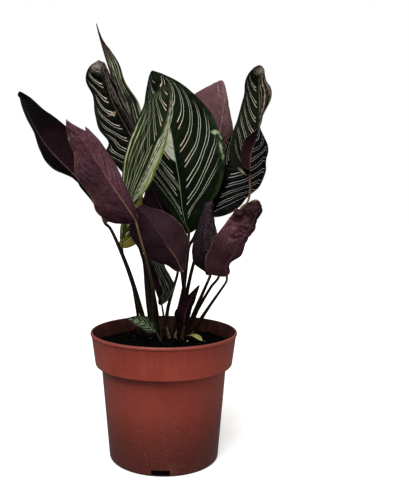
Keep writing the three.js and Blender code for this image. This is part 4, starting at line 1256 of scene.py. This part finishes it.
def scattered_lumps(name, materials, amount, size_range, reach, rng, sink=0.3):
    """Small broken lumps scattered on the peat, as one mesh."""
    made = bmesh.new()
    peat = bpy.context.scene.calathea_peat
    for _ in range(amount):
        radius = reach * math.sqrt(rng.random())
        angle = rng.random() * TURN
        x, y = radius * math.cos(angle), radius * math.sin(angle)
        size = size_range[0] + (size_range[1] - size_range[0]) * rng.random() ** 2.5
        place = Vector((x, y, peat_surface(x, y, peat) + size * (0.5 - sink)))
        lump = bmesh.ops.create_icosphere(made, subdivisions=1, radius=size)["verts"]
        stretch = Vector((0.6 + 0.9 * rng.random(), 0.6 + 0.6 * rng.random(), 0.45 + 0.5 * rng.random()))
        turn = Vector((rng.random(), rng.random(), rng.random())) * 3.1
        kind = rng.randrange(len(materials))
        for vertex in lump:
            rough = 1 + 0.35 * noise.noise(vertex.co * (1.4 / size) + turn * 7)
            local = vertex.co * rough * stretch
            local.rotate(Euler(turn))
            vertex.co = local + place
        for face in {f for v in lump for f in v.link_faces}:
            face.material_index = kind
    mesh = to_mesh(name, made)
    for material in materials:
        mesh.materials.append(material)
    mesh.polygons.foreach_set("use_smooth", [True] * len(mesh.polygons))
    mesh.set_sharp_from_angle(angle=math.radians(40))
    link_piece(name, mesh, "peat")


class CALATHEA_OT_crumbs(bpy.types.Operator):
    """Scatter loose crumbs and a few pale mineral grains over the peat"""

    bl_idname = "calathea.crumbs"
    bl_label = "Crumbs"

    def execute(self, context):
        peat, pot = context.scene.calathea_peat, context.scene.calathea_pot
        rng = random.Random(SEED)
        reach = pot.rim_radius - CRUMBS_INSET
        dark = [peat_material("dark_crumb", 0.1), peat_material("brown_crumb", 0.7)]
        scattered_lumps("peat_crumbs", dark, peat.crumbs, (0.0005, 0.0019), reach, rng)
        pale = [peat_material("mineral_grain", 0.9, pale=True)]
        scattered_lumps("mineral_grains", pale, peat.grains, (0.0004, 0.0011), reach, rng)
        return {"FINISHED"}


def make_blades(purple):
    """The blades that turn their purple underside to the front, or the others."""
    for number, leaf in enumerate(LEAVES):
        if (leaf.slot == PURPLE_SIDE) == purple:
            seed = number * 3.7 + 1
            materials = [upper_material(leaf, seed), under_material(leaf, seed)]
            look = look_of(leaf, UNDER_LOOK)
            mesh = blade_mesh(leaf, materials, seed, rib=(leaf.radii[2] * look.rib_height, look.rib_end))
            link_piece(f"blade_{leaf.name}", mesh, leaf.slot, f"leaf_{leaf.name}")


class CALATHEA_OT_green_blades(bpy.types.Operator):
    """Model the blades that turn their striped upper side to the front"""

    bl_idname = "calathea.green_blades"
    bl_label = "Striped Blades"

    def execute(self, context):
        make_blades(purple=False)
        return {"FINISHED"}


class CALATHEA_OT_purple_blades(bpy.types.Operator):
    """Model the blades that turn their purple underside to the front"""

    bl_idname = "calathea.purple_blades"
    bl_label = "Purple Blades"

    def execute(self, context):
        make_blades(purple=True)
        return {"FINISHED"}


class CALATHEA_OT_stems(bpy.types.Operator):
    """Model a stem for each blade"""

    bl_idname = "calathea.stems"
    bl_label = "Stems"

    def execute(self, context):
        for number, leaf in enumerate(LEAVES):
            material = stem_material(f"{leaf.name}_stem", leaf.dry_stem, number * 2.3)
            link_piece(f"petiole_{leaf.name}", stem_mesh(leaf, material), "stem", f"stem_{leaf.name}")
        return {"FINISHED"}


class CALATHEA_OT_old_sheaths(bpy.types.Operator):
    """Model the dry spikes that shed leaves have left between the stems"""

    bl_idname = "calathea.old_sheaths"
    bl_label = "Old Sheaths"

    def execute(self, context):
        material = dry_material("dry_sheath", "#6a4a34", "#1e120c", 180.0)
        for number, (path, radius) in enumerate(OLD_SHEATHS, 1):
            name = f"shed_sheath_{number}"
            radius_at = lambda up: radius * (1 - up) ** 0.7 + 0.12
            ragged = lambda angle, up: 1 + 0.25 * math.sin(3 * angle + number) * (0.4 + up)
            mesh = swept_tube(name, path, radius_at, 16, material, ragged)
            link_piece(name, mesh, "dry_sheath", f"old_sheath_{number}")
        return {"FINISHED"}


class CALATHEA_OT_dried_scrap(bpy.types.Operator):
    """Model the dried scrap of leaf that lies on the peat"""

    bl_idname = "calathea.dried_scrap"
    bl_label = "Dried Scrap"

    def execute(self, context):
        material = dry_material("dry_leaf", "#a9a45f", "#6f6a3a", 200.0)
        mesh = blade_mesh(DRIED_SCRAP, [material, material], 7.0, rib=(0.3, 0.15))
        link_piece("dried_scrap", mesh, "dry_leaf", "dried_leaf_scrap")
        return {"FINISHED"}


# Studio

CAMERA_PLACE = (0.0, -0.502, 0.217)
CAMERA_DOWN = math.radians(5.3)
CAMERA_FOCUS = 620.0
SENSOR_WIDTH = 36.0
PICTURE_WIDTH = 409.0
PICTURE_HEIGHT = 500.0
POT_AXIS_COLUMN = 163.8
FLOOR_DROP = 0.0002
FOOT_EDGE = (0.0435, 0.0455)
BLACK = (0.0, 0.0, 0.0, 1.0)
WHITE = (1.0, 1.0, 1.0, 1.0)


def set_camera(scene):
    """The camera at the picture's viewing angle. Its focus and the pot's axis are in the picture's pixels."""
    lens = bpy.data.cameras.new("camera")
    lens.sensor_width = SENSOR_WIDTH
    lens.lens = CAMERA_FOCUS / PICTURE_HEIGHT * SENSOR_WIDTH
    lens.shift_x = (PICTURE_WIDTH / 2 - POT_AXIS_COLUMN) / PICTURE_HEIGHT
    lens.clip_start = 0.01
    scene.camera = link_object("camera", lens)
    scene.camera.location = CAMERA_PLACE
    scene.camera.rotation_euler = (math.pi / 2 - CAMERA_DOWN, 0.0, 0.0)
    scene.view_settings.view_transform = "Standard"


def floor_material(studio):
    """Pale and faintly mottled. It glows a little, and where the pot stands it is painted dark as shade, without
    glow.
    """
    material, g = new_material("floor")
    inputs = g.tree.nodes["Principled BSDF"].inputs
    pale = g.mix(g.noise(g.place(), 40.0, 3.0) * 0.1, studio.floor, colour("#e8e6e3"))
    away = g.read("ShaderNodeVectorMath", "Value", {0: g.place()}, operation="LENGTH")
    outside_painted_shade = away.fade(*FOOT_EDGE)
    # Painted shade: a dark disc with no glow under the pot, seen through the foot's notches.
    g.feed(inputs["Base Color"], g.mix(outside_painted_shade, colour("#1b1512"), pale))
    g.feed(inputs["Emission Color"], g.mix(outside_painted_shade, BLACK, WHITE))
    inputs["Emission Strength"].default_value = studio.floor_glow
    inputs["Roughness"].default_value = 0.7
    inputs["Specular IOR Level"].default_value = 0.2
    return material


def soft_light(name, strength, spread, direction):
    """Even light from one side of the studio, softened over an angle in degrees."""
    lamp = bpy.data.lights.new(name, "SUN")
    lamp.energy = strength
    lamp.angle = math.radians(spread)
    link_object(name, lamp).rotation_euler = Vector(direction).to_track_quat("Z", "Y").to_euler()


def set_sky(scene, studio):
    """Even white light, brighter from above, with dimmer walls where gloss mirrors them."""
    scene.world = bpy.data.worlds.new("studio")
    scene.world.use_nodes = True
    g = Graph(scene.world.node_tree)
    upward = g.parts(g.read("ShaderNodeTexCoord", "Generated"))[2]
    dome = upward.fade(-0.1, 0.7, 0.12 * studio.sky, studio.sky)
    mirrored = g.read("ShaderNodeLightPath", "Is Glossy Ray") * studio.walls
    seen = g.math("MAXIMUM", g.read("ShaderNodeLightPath", "Is Camera Ray"), mirrored)
    background = g.tree.nodes["Background"].inputs
    background["Color"].default_value = WHITE
    g.feed(background["Strength"], g.math("MAXIMUM", dome, seen))


class CALATHEA_OT_studio(bpy.types.Operator):
    """Set up the camera, a plain pale floor and soft light"""

    bl_idname = "calathea.studio"
    bl_label = "Studio"

    def execute(self, context):
        studio = context.scene.calathea_studio
        set_camera(context.scene)
        disc = bmesh.new()
        bmesh.ops.create_circle(disc, cap_ends=True, segments=96, radius=studio.floor_radius)
        floor = link_object("floor", to_mesh("floor", disc))
        floor.data.materials.append(floor_material(studio))
        floor.location.z = -FLOOR_DROP
        floor.visible_diffuse = floor.visible_glossy = False
        soft_light("key", studio.key, 35, (-0.25, -0.55, 1.0))
        soft_light("fill", studio.fill, 50, (0.5, -1.0, 0.55))
        set_sky(context.scene, studio)
        return {"FINISHED"}


class CALATHEA_PT_panel(bpy.types.Panel):
    """The sidebar panel with each piece's button and settings"""

    bl_label = "Potted Calathea"
    bl_idname = "CALATHEA_PT_panel"
    bl_space_type = "VIEW_3D"
    bl_region_type = "UI"
    bl_category = "Calathea"

    def draw(self, context):
        for operator in OPERATORS:
            self.layout.operator(operator.bl_idname)
        for group in SETTINGS:
            settings = getattr(context.scene, group)
            box = self.layout.box()
            for name in settings.__annotations__:
                box.prop(settings, name)


OPERATORS = [
    CALATHEA_OT_studio,
    CALATHEA_OT_pot,
    CALATHEA_OT_peat,
    CALATHEA_OT_crumbs,
    CALATHEA_OT_stems,
    CALATHEA_OT_green_blades,
    CALATHEA_OT_purple_blades,
    CALATHEA_OT_old_sheaths,
    CALATHEA_OT_dried_scrap,
]

SETTINGS = {
    "calathea_pot": PotSettings,
    "calathea_peat": PeatSettings,
    "calathea_foliage": FoliageSettings,
    "calathea_studio": StudioSettings,
}


def register():
    for cls in (*SETTINGS.values(), *OPERATORS, CALATHEA_PT_panel):
        bpy.utils.register_class(cls)
    for name, group in SETTINGS.items():
        setattr(bpy.types.Scene, name, bpy.props.PointerProperty(type=group))


def unregister():
    for name in SETTINGS:
        delattr(bpy.types.Scene, name)
    for cls in (CALATHEA_PT_panel, *OPERATORS[::-1], *SETTINGS.values()):
        bpy.utils.unregister_class(cls)


def main():
    register()
    for operator in OPERATORS:
        family, piece = operator.bl_idname.split(".")
        getattr(getattr(bpy.ops, family), piece)()


if __name__ == "__main__":
    main()
